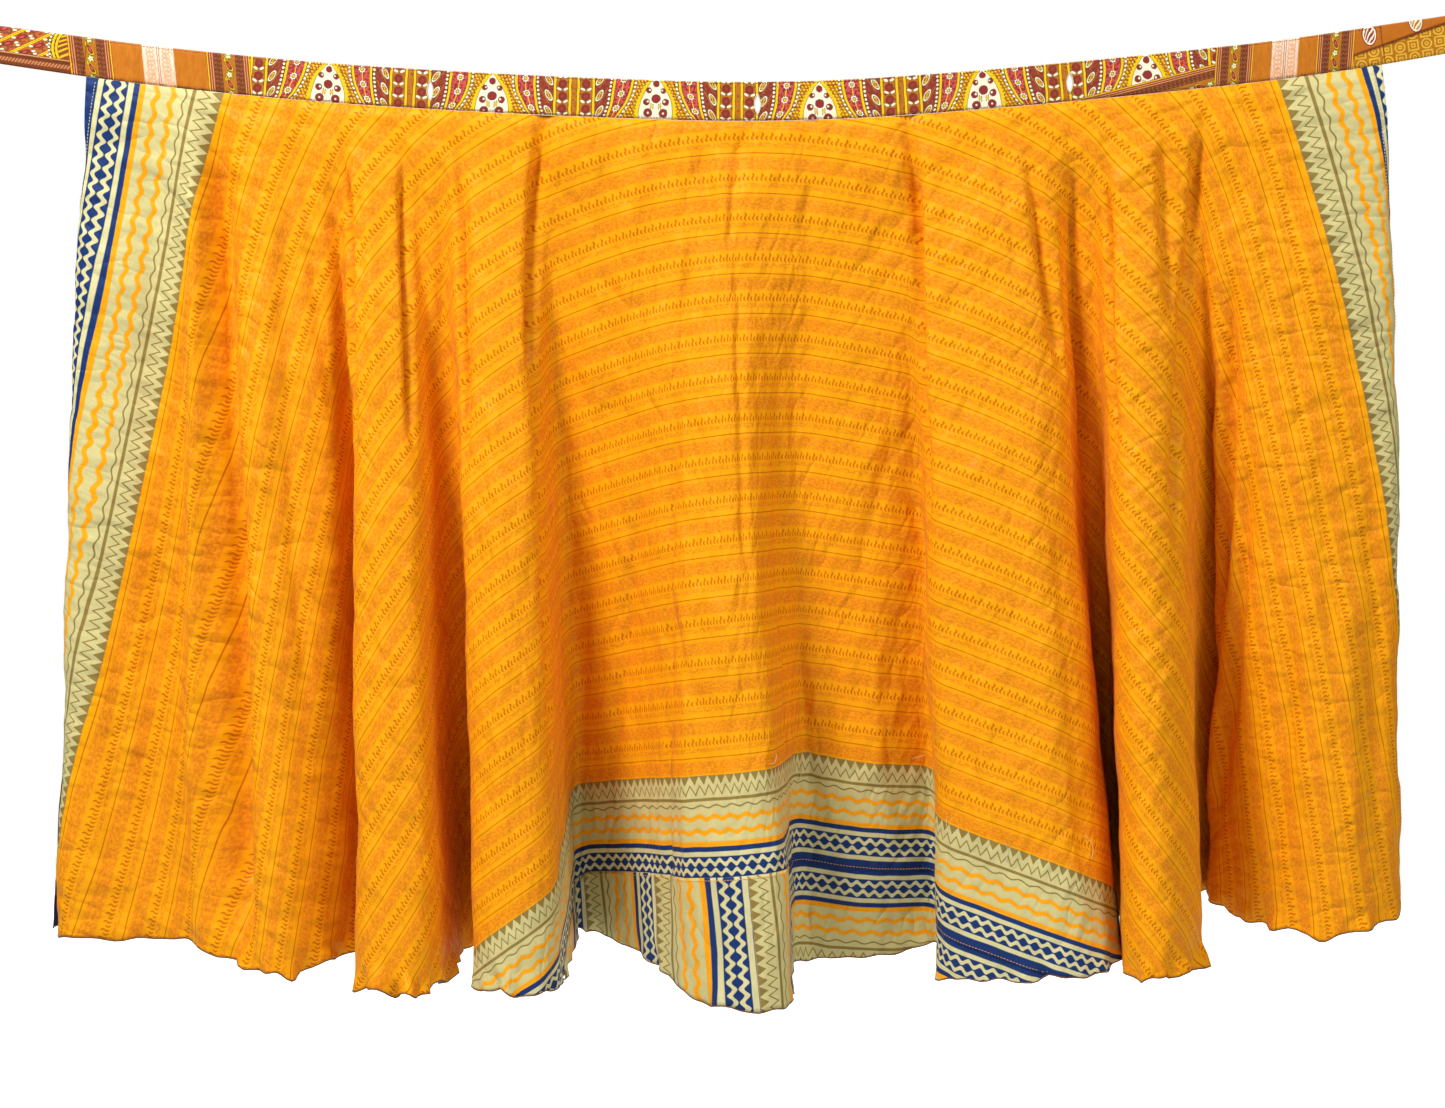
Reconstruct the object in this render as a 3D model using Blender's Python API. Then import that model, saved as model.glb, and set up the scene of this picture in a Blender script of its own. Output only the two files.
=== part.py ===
"""A wrap skirt of printed sari cloth, hung up by its two waist ties.

Metres, +Z up, +X to the right as the skirt is seen, the viewer on the -Y side. The origin is
the middle of the straight line between the two held tie ends.

The skirt is a half circle of cloth. A point of the cloth is named by its angle round the half
circle, from 0 at the centre front to -90 at the left opening edge, and by its drop, the length
of cloth between it and the waistband.
"""

import bmesh
import bpy
import numpy as np

# Cut of the cloth
WAIST_RADIUS = 0.369
HEM_RADIUS = 1.229
SARI_WIDTH = 1.127
LEFT_EDGE_ANGLE = -90.0
RIGHT_EDGE_ANGLE = 85.5
BAND_PER_DEGREE = 0.007256

# Walls and gaps
CLOTH_WALL = 0.0012
SEAM_GAP = 0.0003
LAYER_GAP = 0.0009
LAYER_STEP = CLOTH_WALL + LAYER_GAP

# Where the skirt hangs below and beside the origin
MIDDLE_X = 0.016
BAND_LOW_Z = -0.129

# Waistband and ties
BAND_HEIGHT = 0.038
BAND_WALL = 0.003
TIE_LENGTH = 0.480
TIE_WALL = 0.0024
LEFT_TIE_END_HEIGHT = 0.030
RIGHT_TIE_END_HEIGHT = 0.026
SLOPE_STEP = 0.001
SLIT_WIDTH = 0.0062
SLIT_HEIGHT = 0.021
SLIT_CUT_REACH = 2.0 * BAND_WALL

# Height of the band's middle line above its lowest point, along x from the centre front
BAND_COLUMNS = ("x", "height", "softness")
BAND_LINE = (
    (-1.150, 0.1210, 0.060),
    (-0.750, 0.0580, 0.060),
    (-0.597, 0.0370, 0.060),
    (-0.430, 0.0200, 0.080),
    (-0.230, 0.0080, 0.100),
    (0.020, -0.0010, 0.110),
    (0.200, 0.0100, 0.090),
    (0.400, 0.0285, 0.080),
    (0.540, 0.0440, 0.060),
    (0.695, 0.0680, 0.060),
    (1.120, 0.1430, 0.060),
)

# Slits that a tie is passed through, by their place along the band and the height of their
# middle over the band's
SLITS = (
    ("left", -0.315, -0.0015),
    ("middle", 0.007, -0.0030),
    ("right", 0.314, -0.0010),
)

# The corners that the folded cloth turns at, from the left opening edge to the right one.
# angle_top and angle_hem say which part of the cloth lies at the corner just under the band
# and at the hem. x and y are the corner's place at the hem, y to the back. bow moves the
# corner sideways, most of all a third of the way down. softness is half the arc of cloth, in
# degrees, that turns.
FOLD_COLUMNS = ("place", "angle_top", "angle_hem", "x", "y", "bow", "softness")
FOLDS = (
    ("left edge", -90.0, -90.0, -0.600, 0.078, -0.018, 1.0),
    ("left turn", -88.7, -83.3, -0.732, 0.024, -0.015, 1.6),
    ("left front", -87.6, -82.5, -0.688, -0.006, -0.003, 1.4),
    ("left trough", -77.7, -78.1, -0.583, 0.038, 0.008, 2.6),
    ("left flute", -68.7, -72.1, -0.476, -0.050, -0.002, 1.8),
    ("left flute end", -61.5, -69.2, -0.430, 0.004, 0.000, 1.4),
    ("first fold in", -58.4, -67.8, -0.406, 0.036, 0.000, 1.0),
    ("first fold floor", -57.6, -62.9, -0.384, 0.148, 0.000, 1.0),
    ("first fold back", -56.8, -61.8, -0.366, 0.150, 0.000, 1.0),
    ("second flute left", -55.8, -53.4, -0.397, -0.050, 0.006, 1.3),
    ("second flute front", -51.5, -50.9, -0.350, -0.078, 0.000, 1.6),
    ("second flute right", -48.4, -48.5, -0.314, -0.056, 0.004, 1.1),
    ("second fold in", -45.8, -41.0, -0.296, 0.118, 0.000, 1.2),
    ("second fold back", -43.0, -39.3, -0.262, 0.124, 0.000, 1.2),
    ("third flute left", -40.0, -32.5, -0.280, -0.048, 0.000, 1.2),
    ("third flute front", -35.5, -29.7, -0.238, -0.082, 0.000, 1.7),
    ("third flute right", -31.5, -26.6, -0.190, -0.052, 0.000, 1.5),
    ("third fold floor", -28.2, -17.5, -0.184, 0.164, 0.000, 1.4),
    ("centre left", -25.0, -15.8, -0.150, 0.138, 0.000, 1.6),
    ("centre slope", -19.0, -11.6, -0.093, 0.070, 0.000, 1.8),
    ("centre crease", -10.5, -7.4, -0.057, -0.034, 0.000, 1.2),
    ("centre front", -5.0, -4.3, -0.001, -0.080, 0.000, 1.6),
    ("knife edge", -1.2, -2.2, 0.038, -0.060, -0.010, 0.9),
    ("knife back", 5.6, 4.9, 0.047, 0.098, 0.004, 1.2),
    ("recess middle", 14.0, 8.8, 0.128, 0.078, 0.000, 2.2),
    ("recess right", 21.0, 12.4, 0.206, 0.116, 0.000, 1.2),
    ("fourth flute left", 23.6, 18.4, 0.190, -0.014, -0.004, 1.2),
    ("fourth flute front", 28.0, 21.8, 0.256, -0.050, 0.000, 2.0),
    ("fourth flute side", 34.0, 26.0, 0.336, -0.062, 0.000, 2.0),
    ("fourth flute right", 37.6, 29.4, 0.381, 0.018, 0.000, 1.4),
    ("fourth fold floor", 41.5, 36.3, 0.388, 0.178, 0.000, 1.1),
    ("fourth fold back", 45.5, 37.2, 0.405, 0.182, 0.000, 1.1),
    ("fifth flute left", 49.0, 47.1, 0.374, -0.048, -0.006, 1.4),
    ("fifth flute front", 51.8, 49.2, 0.406, -0.080, 0.000, 1.5),
    ("fifth flute right", 54.6, 52.6, 0.458, -0.012, 0.004, 1.6),
    ("fifth fold floor", 57.6, 61.0, 0.482, 0.178, 0.012, 1.2),
    ("fifth fold behind", 58.8, 65.0, 0.550, 0.232, 0.006, 1.1),
    ("right panel left", 60.4, 69.3, 0.486, 0.160, 0.014, 1.1),
    ("right panel slope", 64.2, 73.8, 0.532, 0.084, 0.000, 1.8),
    ("right panel front", 72.5, 78.2, 0.603, 0.012, -0.006, 2.0),
    ("right turn", 84.0, 82.2, 0.684, 0.064, 0.014, 1.6),
    ("right edge", 85.5, 85.5, 0.672, 0.132, 0.009, 1.2),
)

# The under layer leaves the outer one at the left and lies behind its turned edge
UNDER_LEFT_FOLDS = (
    ("under left edge", -90.0, -90.0, -0.710, 0.112, 0.000, 1.0),
    ("under left turn", -87.6, -87.8, -0.736, 0.075, 0.000, 1.0),
    ("under left back", -80.0, -80.2, -0.585, 0.124, 0.000, 1.4),
    ("under left join", -74.5, -75.4, -0.540, 0.024, 0.000, 1.4),
)
UNDER_JOINS_AFTER = "left trough"

# How much longer the cloth has hung out at the hem, softness in degrees as above
HEM_COLUMNS = ("angle", "extra", "softness")
HEM_LINE = (
    (-90.0, 0.006, 1.0),
    (-84.0, 0.004, 1.6),
    (-77.5, -0.004, 1.4),
    (-72.4, 0.021, 1.4),
    (-66.0, 0.010, 3.0),
    (-51.0, 0.018, 3.0),
    (-41.0, 0.008, 4.0),
    (-28.0, 0.008, 4.0),
    (-13.0, 0.002, 2.6),
    (-4.5, 0.021, 2.2),
    (5.0, 0.008, 2.0),
    (12.0, 0.008, 3.0),
    (22.0, 0.003, 3.0),
    (30.0, 0.012, 3.0),
    (44.0, 0.008, 4.0),
    (51.5, 0.014, 2.6),
    (61.0, 0.005, 3.0),
    (70.0, 0.006, 3.0),
    (77.0, 0.015, 2.6),
    (85.5, -0.002, 1.0),
)

# The under layer's hem is a little higher than the outer one, but for the places where it
# hangs lower
UNDER_HEM_RISE = 0.010
UNDER_LOW_COLUMNS = ("angle", "extra", "spread")
UNDER_LOW_PLACES = (
    (-87.5, 0.022, 4.0),
    (-62.5, 0.026, 3.0),
    (34.0, 0.028, 3.5),
)

# The two hem extensions meet beside the centre front and run out where the hem is reached
EXTENSION_LEFT_END = -22.0
EXTENSION_JOIN = 1.2
EXTENSION_JOIN_GAP = 0.015
EXTENSION_RIGHT_END = 21.8

# How finely the solids are divided
ROW_SHARES = (0.0, 0.05, 0.12, 0.22, 0.34, 0.46, 0.58, 0.69, 0.79, 0.875)
ROWS_TO_HEM = 2
EXTENSION_ROWS = 3
LARGEST_CORNER_SHARE = 0.42
SETTLING_ROUNDS = 4
BOW_PEAK = 6.75
BAND_STATIONS = 36
TIE_STATIONS = 12
STRIP_SIDES = 8
SLIT_POINTS = 9
SMALLEST_COSINE = 0.05

COLOURS = {
    "skirt_outer_panel": (0.95, 0.42, 0.02, 1.0),
    "hem_extension_left": (0.70, 0.62, 0.30, 1.0),
    "hem_extension_right": (0.66, 0.60, 0.32, 1.0),
    "skirt_under_layer": (0.06, 0.07, 0.14, 1.0),
    "waistband": (0.42, 0.16, 0.06, 1.0),
    "tie_left": (0.45, 0.18, 0.06, 1.0),
    "tie_right": (0.50, 0.24, 0.04, 1.0),
}
CLOTH_ROUGHNESS = 0.6


def clear_scene():
    for old in list(bpy.data.objects):
        bpy.data.objects.remove(old, do_unlink=True)


def columns(table, names, *wanted):
    """The wanted columns of a table, as arrays."""
    found = list(zip(*table))
    return [np.array(found[names.index(name)]) for name in wanted]


def soft_ramp(distance, softness):
    """Zero before a corner, the distance after it, and a parabola across the corner."""
    near = np.clip(distance, -softness, softness)
    return (near + softness) ** 2 / (4.0 * softness) + np.maximum(distance - softness, 0.0)


def soft_run(reach, values, softness):
    """The value on a line of straight stretches whose corners are rounded.

    The last axis of each array goes over the corners. reach is how far the wanted place lies
    past each corner, values are the corners' own values.
    """
    slopes = np.diff(values) / -np.diff(reach)
    turns = np.diff(slopes)
    start = values[..., 0] + slopes[..., 0] * reach[..., 0]
    return start + (turns * soft_ramp(reach[..., 1:-1], softness[1:-1])).sum(axis=-1)


def band_height(x):
    """Height over the origin of the band's middle line, at x from the centre front."""
    places, heights, softness = columns(BAND_LINE, BAND_COLUMNS, *BAND_COLUMNS)
    reach = np.asarray(x, float)[..., None] - places
    return BAND_LOW_Z + soft_run(reach, np.broadcast_to(heights, reach.shape), softness)


def fold_growth(drop):
    """How deep the folds are at a drop, as a share of their depth at the hem.

    Cloth of the half circle is longer round than the band it hangs from, by a ratio that
    grows with the drop. Folds that take up a ratio are as deep as the root of its square
    less one.
    """
    band_radius = np.degrees(BAND_PER_DEGREE)
    ratio = np.maximum((WAIST_RADIUS + drop) / band_radius, 1.0)
    hem_ratio = HEM_RADIUS / band_radius
    return np.sqrt((ratio**2 - 1.0) / (hem_ratio**2 - 1.0))


def hung_points(folds, angle, drop):
    """Points of the cloth, hung from the band: arrays of angles and drops give x, y, z.

    The corners' places at the drop give x and y. A point then hangs as far from its own
    place on the band as its drop, and that gives z.
    """
    top, hem, x_hem, y_hem, bow, softness = columns(folds, FOLD_COLUMNS, *FOLD_COLUMNS[1:])
    share = (drop / (HEM_RADIUS - WAIST_RADIUS))[..., None]
    corner_angle = top + (hem - top) * share
    x_top = top * BAND_PER_DEGREE
    bowed = bow * BOW_PEAK * share * (1.0 - share) ** 2
    corner_x = x_top + (x_hem - x_top) * share + bowed
    corner_y = y_hem * fold_growth(drop)[..., None]
    reach = angle[..., None] - corner_angle
    x = soft_run(reach, corner_x, softness)
    y = soft_run(reach, corner_y, softness)
    band_x = angle * BAND_PER_DEGREE
    seam_z = band_height(band_x) - BAND_HEIGHT / 2.0 - SEAM_GAP
    z = seam_z - np.sqrt(np.maximum(drop**2 - (x - band_x) ** 2 - y**2, 0.0))
    return np.stack([x + MIDDLE_X, y, z], axis=-1)


def full_hem(angle):
    """Drop of the hem: the cut's own, and what the cloth has hung out since."""
    places, extra, softness = columns(HEM_LINE, HEM_COLUMNS, *HEM_COLUMNS)
    reach = np.asarray(angle, float)[..., None] - places
    hung_out = soft_run(reach, np.broadcast_to(extra, reach.shape), softness)
    return HEM_RADIUS - WAIST_RADIUS + hung_out


def selvedge_ends():
    """The two angles where the sari's lower edge meets the hem, settled in a few rounds."""
    ends = np.array([EXTENSION_LEFT_END, EXTENSION_RIGHT_END])
    for _ in range(SETTLING_ROUNDS):
        reach = np.degrees(np.arccos(SARI_WIDTH / (WAIST_RADIUS + full_hem(ends))))
        ends = np.sign(ends) * reach
    return ends.tolist()


def fold_places(folds, first_angle, last_angle):
    """Where a grid's columns lie, as fold numbers with fractions.

    There is one at each corner, one at each end of the arc that it turns through, and one
    wherever a seam starts or ends.
    """
    hem, softness = columns(folds, FOLD_COLUMNS, "angle_hem", "softness")
    numbers = np.arange(len(folds))
    room = np.minimum(np.diff(hem)[:-1], np.diff(hem)[1:]) * LARGEST_CORNER_SHARE
    arc = np.minimum(softness[1:-1], room)
    seams = [EXTENSION_LEFT_END, EXTENSION_JOIN, EXTENSION_RIGHT_END] + selvedge_ends()
    angles = np.concatenate([hem, hem[1:-1] - arc, hem[1:-1] + arc, seams])
    angles = np.sort(angles[(angles > first_angle) & (angles < last_angle)])
    angles = np.concatenate([[first_angle], angles, [last_angle]])
    return np.interp(angles, hem, numbers)


def hung_grid(folds, places, drops_at):
    """Grids of points, with rows going down and columns along the folds.

    drops_at gives the drops of all rows at the angles of all points. A column's angle
    depends on its drop, so the two are settled in a few rounds.
    """
    top, hem = columns(folds, FOLD_COLUMNS, "angle_top", "angle_hem")
    numbers = np.arange(len(folds))
    top = np.interp(places, numbers, top)
    hem = np.interp(places, numbers, hem)
    drop = drops_at(hem[None, :])
    for _ in range(SETTLING_ROUNDS):
        angle = top + (hem - top) * drop / (HEM_RADIUS - WAIST_RADIUS)
        drop = drops_at(angle)
    return hung_points(folds, angle, drop)


def facing(grid):
    """Unit normals of a grid, on the side that faces the viewer when it hangs flat."""
    normals = np.cross(np.gradient(grid, axis=0), np.gradient(grid, axis=1))
    return normals / np.linalg.norm(normals, axis=-1, keepdims=True)


def selvedge_drop(angle):
    """Drop of the sari's lower edge, a straight line across the half circle."""
    across = np.maximum(np.cos(np.radians(angle)), SMALLEST_COSINE)
    return np.minimum(SARI_WIDTH / across - WAIST_RADIUS, full_hem(angle))


def under_hem(angle):
    """Drop of the under layer's hem, with a smooth swell at each low place."""
    places, extra, spread = columns(UNDER_LOW_PLACES, UNDER_LOW_COLUMNS, *UNDER_LOW_COLUMNS)
    reach = (np.asarray(angle, float)[..., None] - places) / spread
    return full_hem(angle) - UNDER_HEM_RISE + (extra * np.exp(-(reach**2))).sum(axis=-1)


def rows_between(first, last, count):
    """Rows from a first drop to a last one, evenly spaced."""
    down = np.linspace(0.0, 1.0, count)[:, None]
    return first + (last - first) * down


def panel_drops(lower_edge):
    """Drops of a whole panel's rows: the same on both layers, then evenly to the lower edge."""

    def drops_at(angle):
        angle = np.broadcast_to(angle, (len(ROW_SHARES) + ROWS_TO_HEM, angle.shape[1]))
        upper = np.array(ROW_SHARES)[:, None] * (HEM_RADIUS - WAIST_RADIUS)
        upper = np.broadcast_to(upper, angle[: len(ROW_SHARES)].shape)
        last = lower_edge(angle[-1:])
        lower = rows_between(upper[-1:], last, ROWS_TO_HEM + 1)[1:]
        return np.concatenate([upper, lower])

    return drops_at


def extension_drops(angle):
    """Drops of a hem extension's rows, from just under the selvedge to the hem."""
    return rows_between(selvedge_drop(angle[:1]) + SEAM_GAP, full_hem(angle[-1:]), EXTENSION_ROWS)


def material_for(name):
    material = bpy.data.materials.new(name + "_cloth")
    material.use_nodes = True
    shader = material.node_tree.nodes["Principled BSDF"]
    shader.inputs["Base Color"].default_value = COLOURS[name]
    shader.inputs["Roughness"].default_value = CLOTH_ROUGHNESS
    shader.inputs["Metallic"].default_value = 0.0
    return material


def add_object(name, vertices, faces):
    mesh = bpy.data.meshes.new(name)
    mesh.from_pydata([tuple(v) for v in vertices], [], [tuple(f) for f in faces])
    mesh.materials.append(material_for(name))
    mesh.shade_smooth()
    made = bpy.data.objects.new(name, mesh)
    bpy.context.collection.objects.link(made)
    return made


def wall_on_grid(name, grid, front_offset, back_offset):
    """A closed wall between two grids that stand off a grid along its normals."""
    rows, columns, _ = grid.shape
    normals = facing(grid)
    vertices = np.concatenate(
        [
            (grid + normals * front_offset).reshape(-1, 3),
            (grid + normals * back_offset).reshape(-1, 3),
        ]
    )
    number = np.arange(rows * columns).reshape(rows, columns)
    back = rows * columns
    a, b, c, d = number[:-1, :-1], number[1:, :-1], number[1:, 1:], number[:-1, 1:]
    halves = np.stack([a, b, c, a, c, d], axis=-1)
    front_faces = halves.reshape(-1, 3)
    back_faces = front_faces[:, ::-1] + back
    rim = np.concatenate(
        [number[:-1, 0], number[-1, :-1], number[:0:-1, -1], number[0, :0:-1]]
    )
    following = np.roll(rim, -1)
    rim_faces = np.stack([rim, rim + back, following + back, following], axis=-1)
    faces = front_faces.tolist() + back_faces.tolist() + rim_faces.tolist()
    return add_object(name, vertices, faces)


def add_outer_panel():
    """The half circle of sari cloth, down to its hem or, in the middle, to its selvedge."""
    places = fold_places(FOLDS, LEFT_EDGE_ANGLE, RIGHT_EDGE_ANGLE)
    grid = hung_grid(FOLDS, places, panel_drops(selvedge_drop))
    front = (CLOTH_WALL + LAYER_STEP) / 2.0
    return wall_on_grid("skirt_outer_panel", grid, front, front - CLOTH_WALL)


def add_hem_extensions():
    """Border strips sewn below the selvedge, where the sari is too narrow for the half circle."""
    front = (CLOTH_WALL + LAYER_STEP) / 2.0
    spans = (
        ("hem_extension_left", EXTENSION_LEFT_END, EXTENSION_JOIN),
        ("hem_extension_right", EXTENSION_JOIN + EXTENSION_JOIN_GAP, EXTENSION_RIGHT_END),
    )
    for name, first, last in spans:
        places = fold_places(FOLDS, first, last)
        grid = hung_grid(FOLDS, places, extension_drops)
        wall_on_grid(name, grid, front, front - CLOTH_WALL)


def under_folds():
    """The outer layer's folds, but for the left end, which lies free behind it."""
    names = [fold[0] for fold in FOLDS]
    return UNDER_LEFT_FOLDS + FOLDS[names.index(UNDER_JOINS_AFTER) + 1 :]


def add_under_layer():
    """The second half circle of cloth, which hangs just behind the first."""
    folds = under_folds()
    places = fold_places(folds, LEFT_EDGE_ANGLE, RIGHT_EDGE_ANGLE)
    grid = hung_grid(folds, places, panel_drops(under_hem))
    back = -(CLOTH_WALL + LAYER_STEP) / 2.0
    return wall_on_grid("skirt_under_layer", grid, back + CLOTH_WALL, back)


def strip_loft(name, places, heights, wall):
    """A flat band with rounded edges, along the band line, with a height at each place."""
    around = np.radians(np.arange(STRIP_SIDES) * 360.0 / STRIP_SIDES + 180.0 / STRIP_SIDES)
    rise = band_height(places + SLOPE_STEP) - band_height(places - SLOPE_STEP)
    slope = rise / (2.0 * SLOPE_STEP)
    along = np.stack([np.ones_like(slope), np.zeros_like(slope), slope], axis=-1)
    along = along / np.linalg.norm(along, axis=-1, keepdims=True)
    up = np.cross(along, (0.0, 1.0, 0.0))
    up = up * np.sign(up[:, 2:3])
    middle = np.stack([places + MIDDLE_X, np.zeros_like(places), band_height(places)], axis=-1)
    half = (heights - wall)[:, None, None] / 2.0
    flat = np.where(np.cos(around) >= 0.0, 1.0, -1.0)[None, :, None]
    round_up = (np.cos(around) * wall / 2.0)[None, :, None]
    depth = np.zeros((1, STRIP_SIDES, 3))
    depth[0, :, 1] = np.sin(around) * wall / 2.0 / np.sin(around).max()
    rings = middle[:, None, :] + up[:, None, :] * (flat * half + round_up) + depth
    count = len(places)
    number = np.arange(count * STRIP_SIDES).reshape(count, STRIP_SIDES)
    turned = np.roll(number, -1, axis=1)
    sides = np.stack([number[:-1], number[1:], turned[1:], turned[:-1]], axis=-1)
    made = add_object(name, rings.reshape(-1, 3), sides.reshape(-1, 4))
    close_ends(made)
    return made


def close_ends(made):
    """Fills the open ends of a strip."""
    shape = bmesh.new()
    shape.from_mesh(made.data)
    open_edges = [edge for edge in shape.edges if edge.is_boundary]
    bmesh.ops.holes_fill(shape, edges=open_edges)
    bmesh.ops.recalc_face_normals(shape, faces=shape.faces)
    shape.to_mesh(made.data)
    shape.free()


def slit_cutter(name, x, above):
    """A lens-shaped prism through the band, which cuts the slit that a tie goes through."""
    turn = np.linspace(-1.0, 1.0, SLIT_POINTS)
    right_side = np.stack([np.cos(turn * np.pi / 2.0) * SLIT_WIDTH / 2.0, turn], axis=-1)
    right_side[:, 1] *= SLIT_HEIGHT / 2.0
    left_side = right_side[-2:0:-1] * (-1.0, 1.0)
    outline = np.concatenate([right_side, left_side])
    middle_z = band_height(x) + above
    count = len(outline)
    vertices = []
    for y in (-SLIT_CUT_REACH, SLIT_CUT_REACH):
        for across, up in outline:
            vertices.append((x + MIDDLE_X + across, y, middle_z + up))
    faces = [list(range(count)), list(range(2 * count - 1, count - 1, -1))]
    for place in range(count):
        following = (place + 1) % count
        faces.append([place, place + count, following + count, following])
    mesh = bpy.data.meshes.new(name)
    mesh.from_pydata(vertices, [], faces)
    cutter = bpy.data.objects.new(name, mesh)
    bpy.context.collection.objects.link(cutter)
    shape = bmesh.new()
    shape.from_mesh(mesh)
    bmesh.ops.recalc_face_normals(shape, faces=shape.faces)
    shape.to_mesh(mesh)
    shape.free()
    cutter.hide_render = True
    cutter.display_type = "WIRE"
    return cutter


def add_waistband():
    """The strip that the half circles are sewn to, with its three slits cut through."""
    first = LEFT_EDGE_ANGLE * BAND_PER_DEGREE
    last = RIGHT_EDGE_ANGLE * BAND_PER_DEGREE
    places = np.linspace(first, last, BAND_STATIONS)
    band = strip_loft("waistband", places, np.full(BAND_STATIONS, BAND_HEIGHT), BAND_WALL)
    for name, x, above in SLITS:
        cut = band.modifiers.new("slit_" + name, "BOOLEAN")
        cut.operation = "DIFFERENCE"
        cut.object = slit_cutter("cutter_" + name, x, above)
    return band


def add_ties():
    """Each tie goes straight on from its end of the band and gets a little narrower."""
    first = LEFT_EDGE_ANGLE * BAND_PER_DEGREE - SEAM_GAP
    last = RIGHT_EDGE_ANGLE * BAND_PER_DEGREE + SEAM_GAP
    sides = (
        ("tie_left", first - TIE_LENGTH, first, LEFT_TIE_END_HEIGHT, BAND_HEIGHT),
        ("tie_right", last, last + TIE_LENGTH, BAND_HEIGHT, RIGHT_TIE_END_HEIGHT),
    )
    for name, start, end, start_height, end_height in sides:
        share = np.linspace(0.0, 1.0, TIE_STATIONS)
        heights = start_height + (end_height - start_height) * share
        strip_loft(name, start + (end - start) * share, heights, TIE_WALL)


clear_scene()
add_outer_panel()
add_hem_extensions()
add_under_layer()
add_waistband()
add_ties()
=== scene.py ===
import bpy
import numpy as np
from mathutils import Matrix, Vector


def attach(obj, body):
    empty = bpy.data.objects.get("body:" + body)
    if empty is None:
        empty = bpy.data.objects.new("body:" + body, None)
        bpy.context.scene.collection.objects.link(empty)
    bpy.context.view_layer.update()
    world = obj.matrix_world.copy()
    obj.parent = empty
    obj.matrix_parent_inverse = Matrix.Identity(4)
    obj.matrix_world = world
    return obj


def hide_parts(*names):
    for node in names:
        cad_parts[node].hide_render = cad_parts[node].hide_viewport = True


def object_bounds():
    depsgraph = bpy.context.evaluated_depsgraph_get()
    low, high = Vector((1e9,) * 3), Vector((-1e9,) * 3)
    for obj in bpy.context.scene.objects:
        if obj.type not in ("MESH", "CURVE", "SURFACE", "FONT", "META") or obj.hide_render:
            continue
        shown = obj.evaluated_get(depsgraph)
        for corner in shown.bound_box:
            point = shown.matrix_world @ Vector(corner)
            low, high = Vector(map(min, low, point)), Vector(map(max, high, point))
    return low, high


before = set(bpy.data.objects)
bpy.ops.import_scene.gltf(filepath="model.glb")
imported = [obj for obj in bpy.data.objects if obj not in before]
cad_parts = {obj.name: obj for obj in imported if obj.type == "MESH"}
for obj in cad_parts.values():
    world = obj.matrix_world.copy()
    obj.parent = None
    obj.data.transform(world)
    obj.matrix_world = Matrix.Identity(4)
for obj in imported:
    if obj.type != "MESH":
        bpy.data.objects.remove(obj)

CAD_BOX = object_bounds()


# The viewer stands in front of the skirt, which hangs from its ties, and looks a little down
# at it. The floor is a plain pale disc well below the hem. The light is soft: a pale sky that
# is brightest overhead, two large panels in front and a third behind.
PICTURE_WIDTH = 1445.0
FOCAL_PIXELS = 2700.0
SENSOR = 36.0
VIEW_DISTANCE = 2.7
VIEW_PITCH = np.radians(5.5)
VIEW_CENTRE = np.array((-0.0115, 0.0, -0.575))
FLOOR_BELOW_HEM = 0.40
FLOOR_RADIUS = 2.6
FLOOR_SIDES = 96
FLOOR_COLOUR = (0.62, 0.62, 0.60, 1.0)
FLOOR_ROUGHNESS = 0.9
# How much brighter the floor looks to the viewer than it is, so that it ends in white
FLOOR_GLOW = 0.9
WHITE = (1.0, 1.0, 1.0, 1.0)
# The sky's light: height of a direction that it starts to brighten at, and its strengths
SKY_BRIGHTENS_FROM = -0.1
SKY_UNDERFOOT = 0.05
SKY_OVERHEAD = 0.34
SKY_SEEN = 1.0
# Light panels: name, place, size, power
LIGHT_PANELS = (
    ("light_left", (-1.45, -1.75, 1.7), 0.7, 112.0),
    ("light_right", (2.1, -2.2, 1.3), 1.3, 50.0),
    ("light_back", (0.6, 2.6, 1.5), 1.6, 60.0),
)


def add_object(name, data):
    """An object of this mesh, lamp or camera, in the scene."""
    made = bpy.data.objects.new(name, data)
    bpy.context.collection.objects.link(made)
    return made


def fill(entry, value):
    """Links a node's entry to a socket, or to a reading's, or sets it to a number or colour."""
    source = getattr(value, "socket", value)
    if isinstance(source, bpy.types.NodeSocket):
        entry.id_data.links.new(source, entry)
    else:
        entry.default_value = source


def set_inputs(node, **given):
    """Fills a node's inputs by their names, with an underscore for each space."""
    for label, value in given.items():
        fill(node.inputs[label.replace("_", " ")], value)
    return node


def add_node(tree, kind, **given):
    """A new shader node of this kind, with these inputs."""
    return set_inputs(tree.nodes.new("ShaderNode" + kind), **given)


def new_material(name, **given):
    """A material, its tree, and its shader with these inputs."""
    material = bpy.data.materials.new(name)
    material.use_nodes = True
    tree = material.node_tree
    return material, tree, set_inputs(tree.nodes["Principled BSDF"], **given)


camera = add_object("camera", bpy.data.cameras.new("camera"))
away = np.array((0.0, -np.cos(VIEW_PITCH), np.sin(VIEW_PITCH)))
camera.location = VIEW_CENTRE + VIEW_DISTANCE * away
camera.rotation_euler = (np.pi / 2.0 - VIEW_PITCH, 0.0, 0.0)
camera.data.sensor_width = SENSOR
camera.data.lens = SENSOR * FOCAL_PIXELS / PICTURE_WIDTH
bpy.context.scene.camera = camera
bpy.context.scene.view_settings.view_transform = "Standard"

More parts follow.
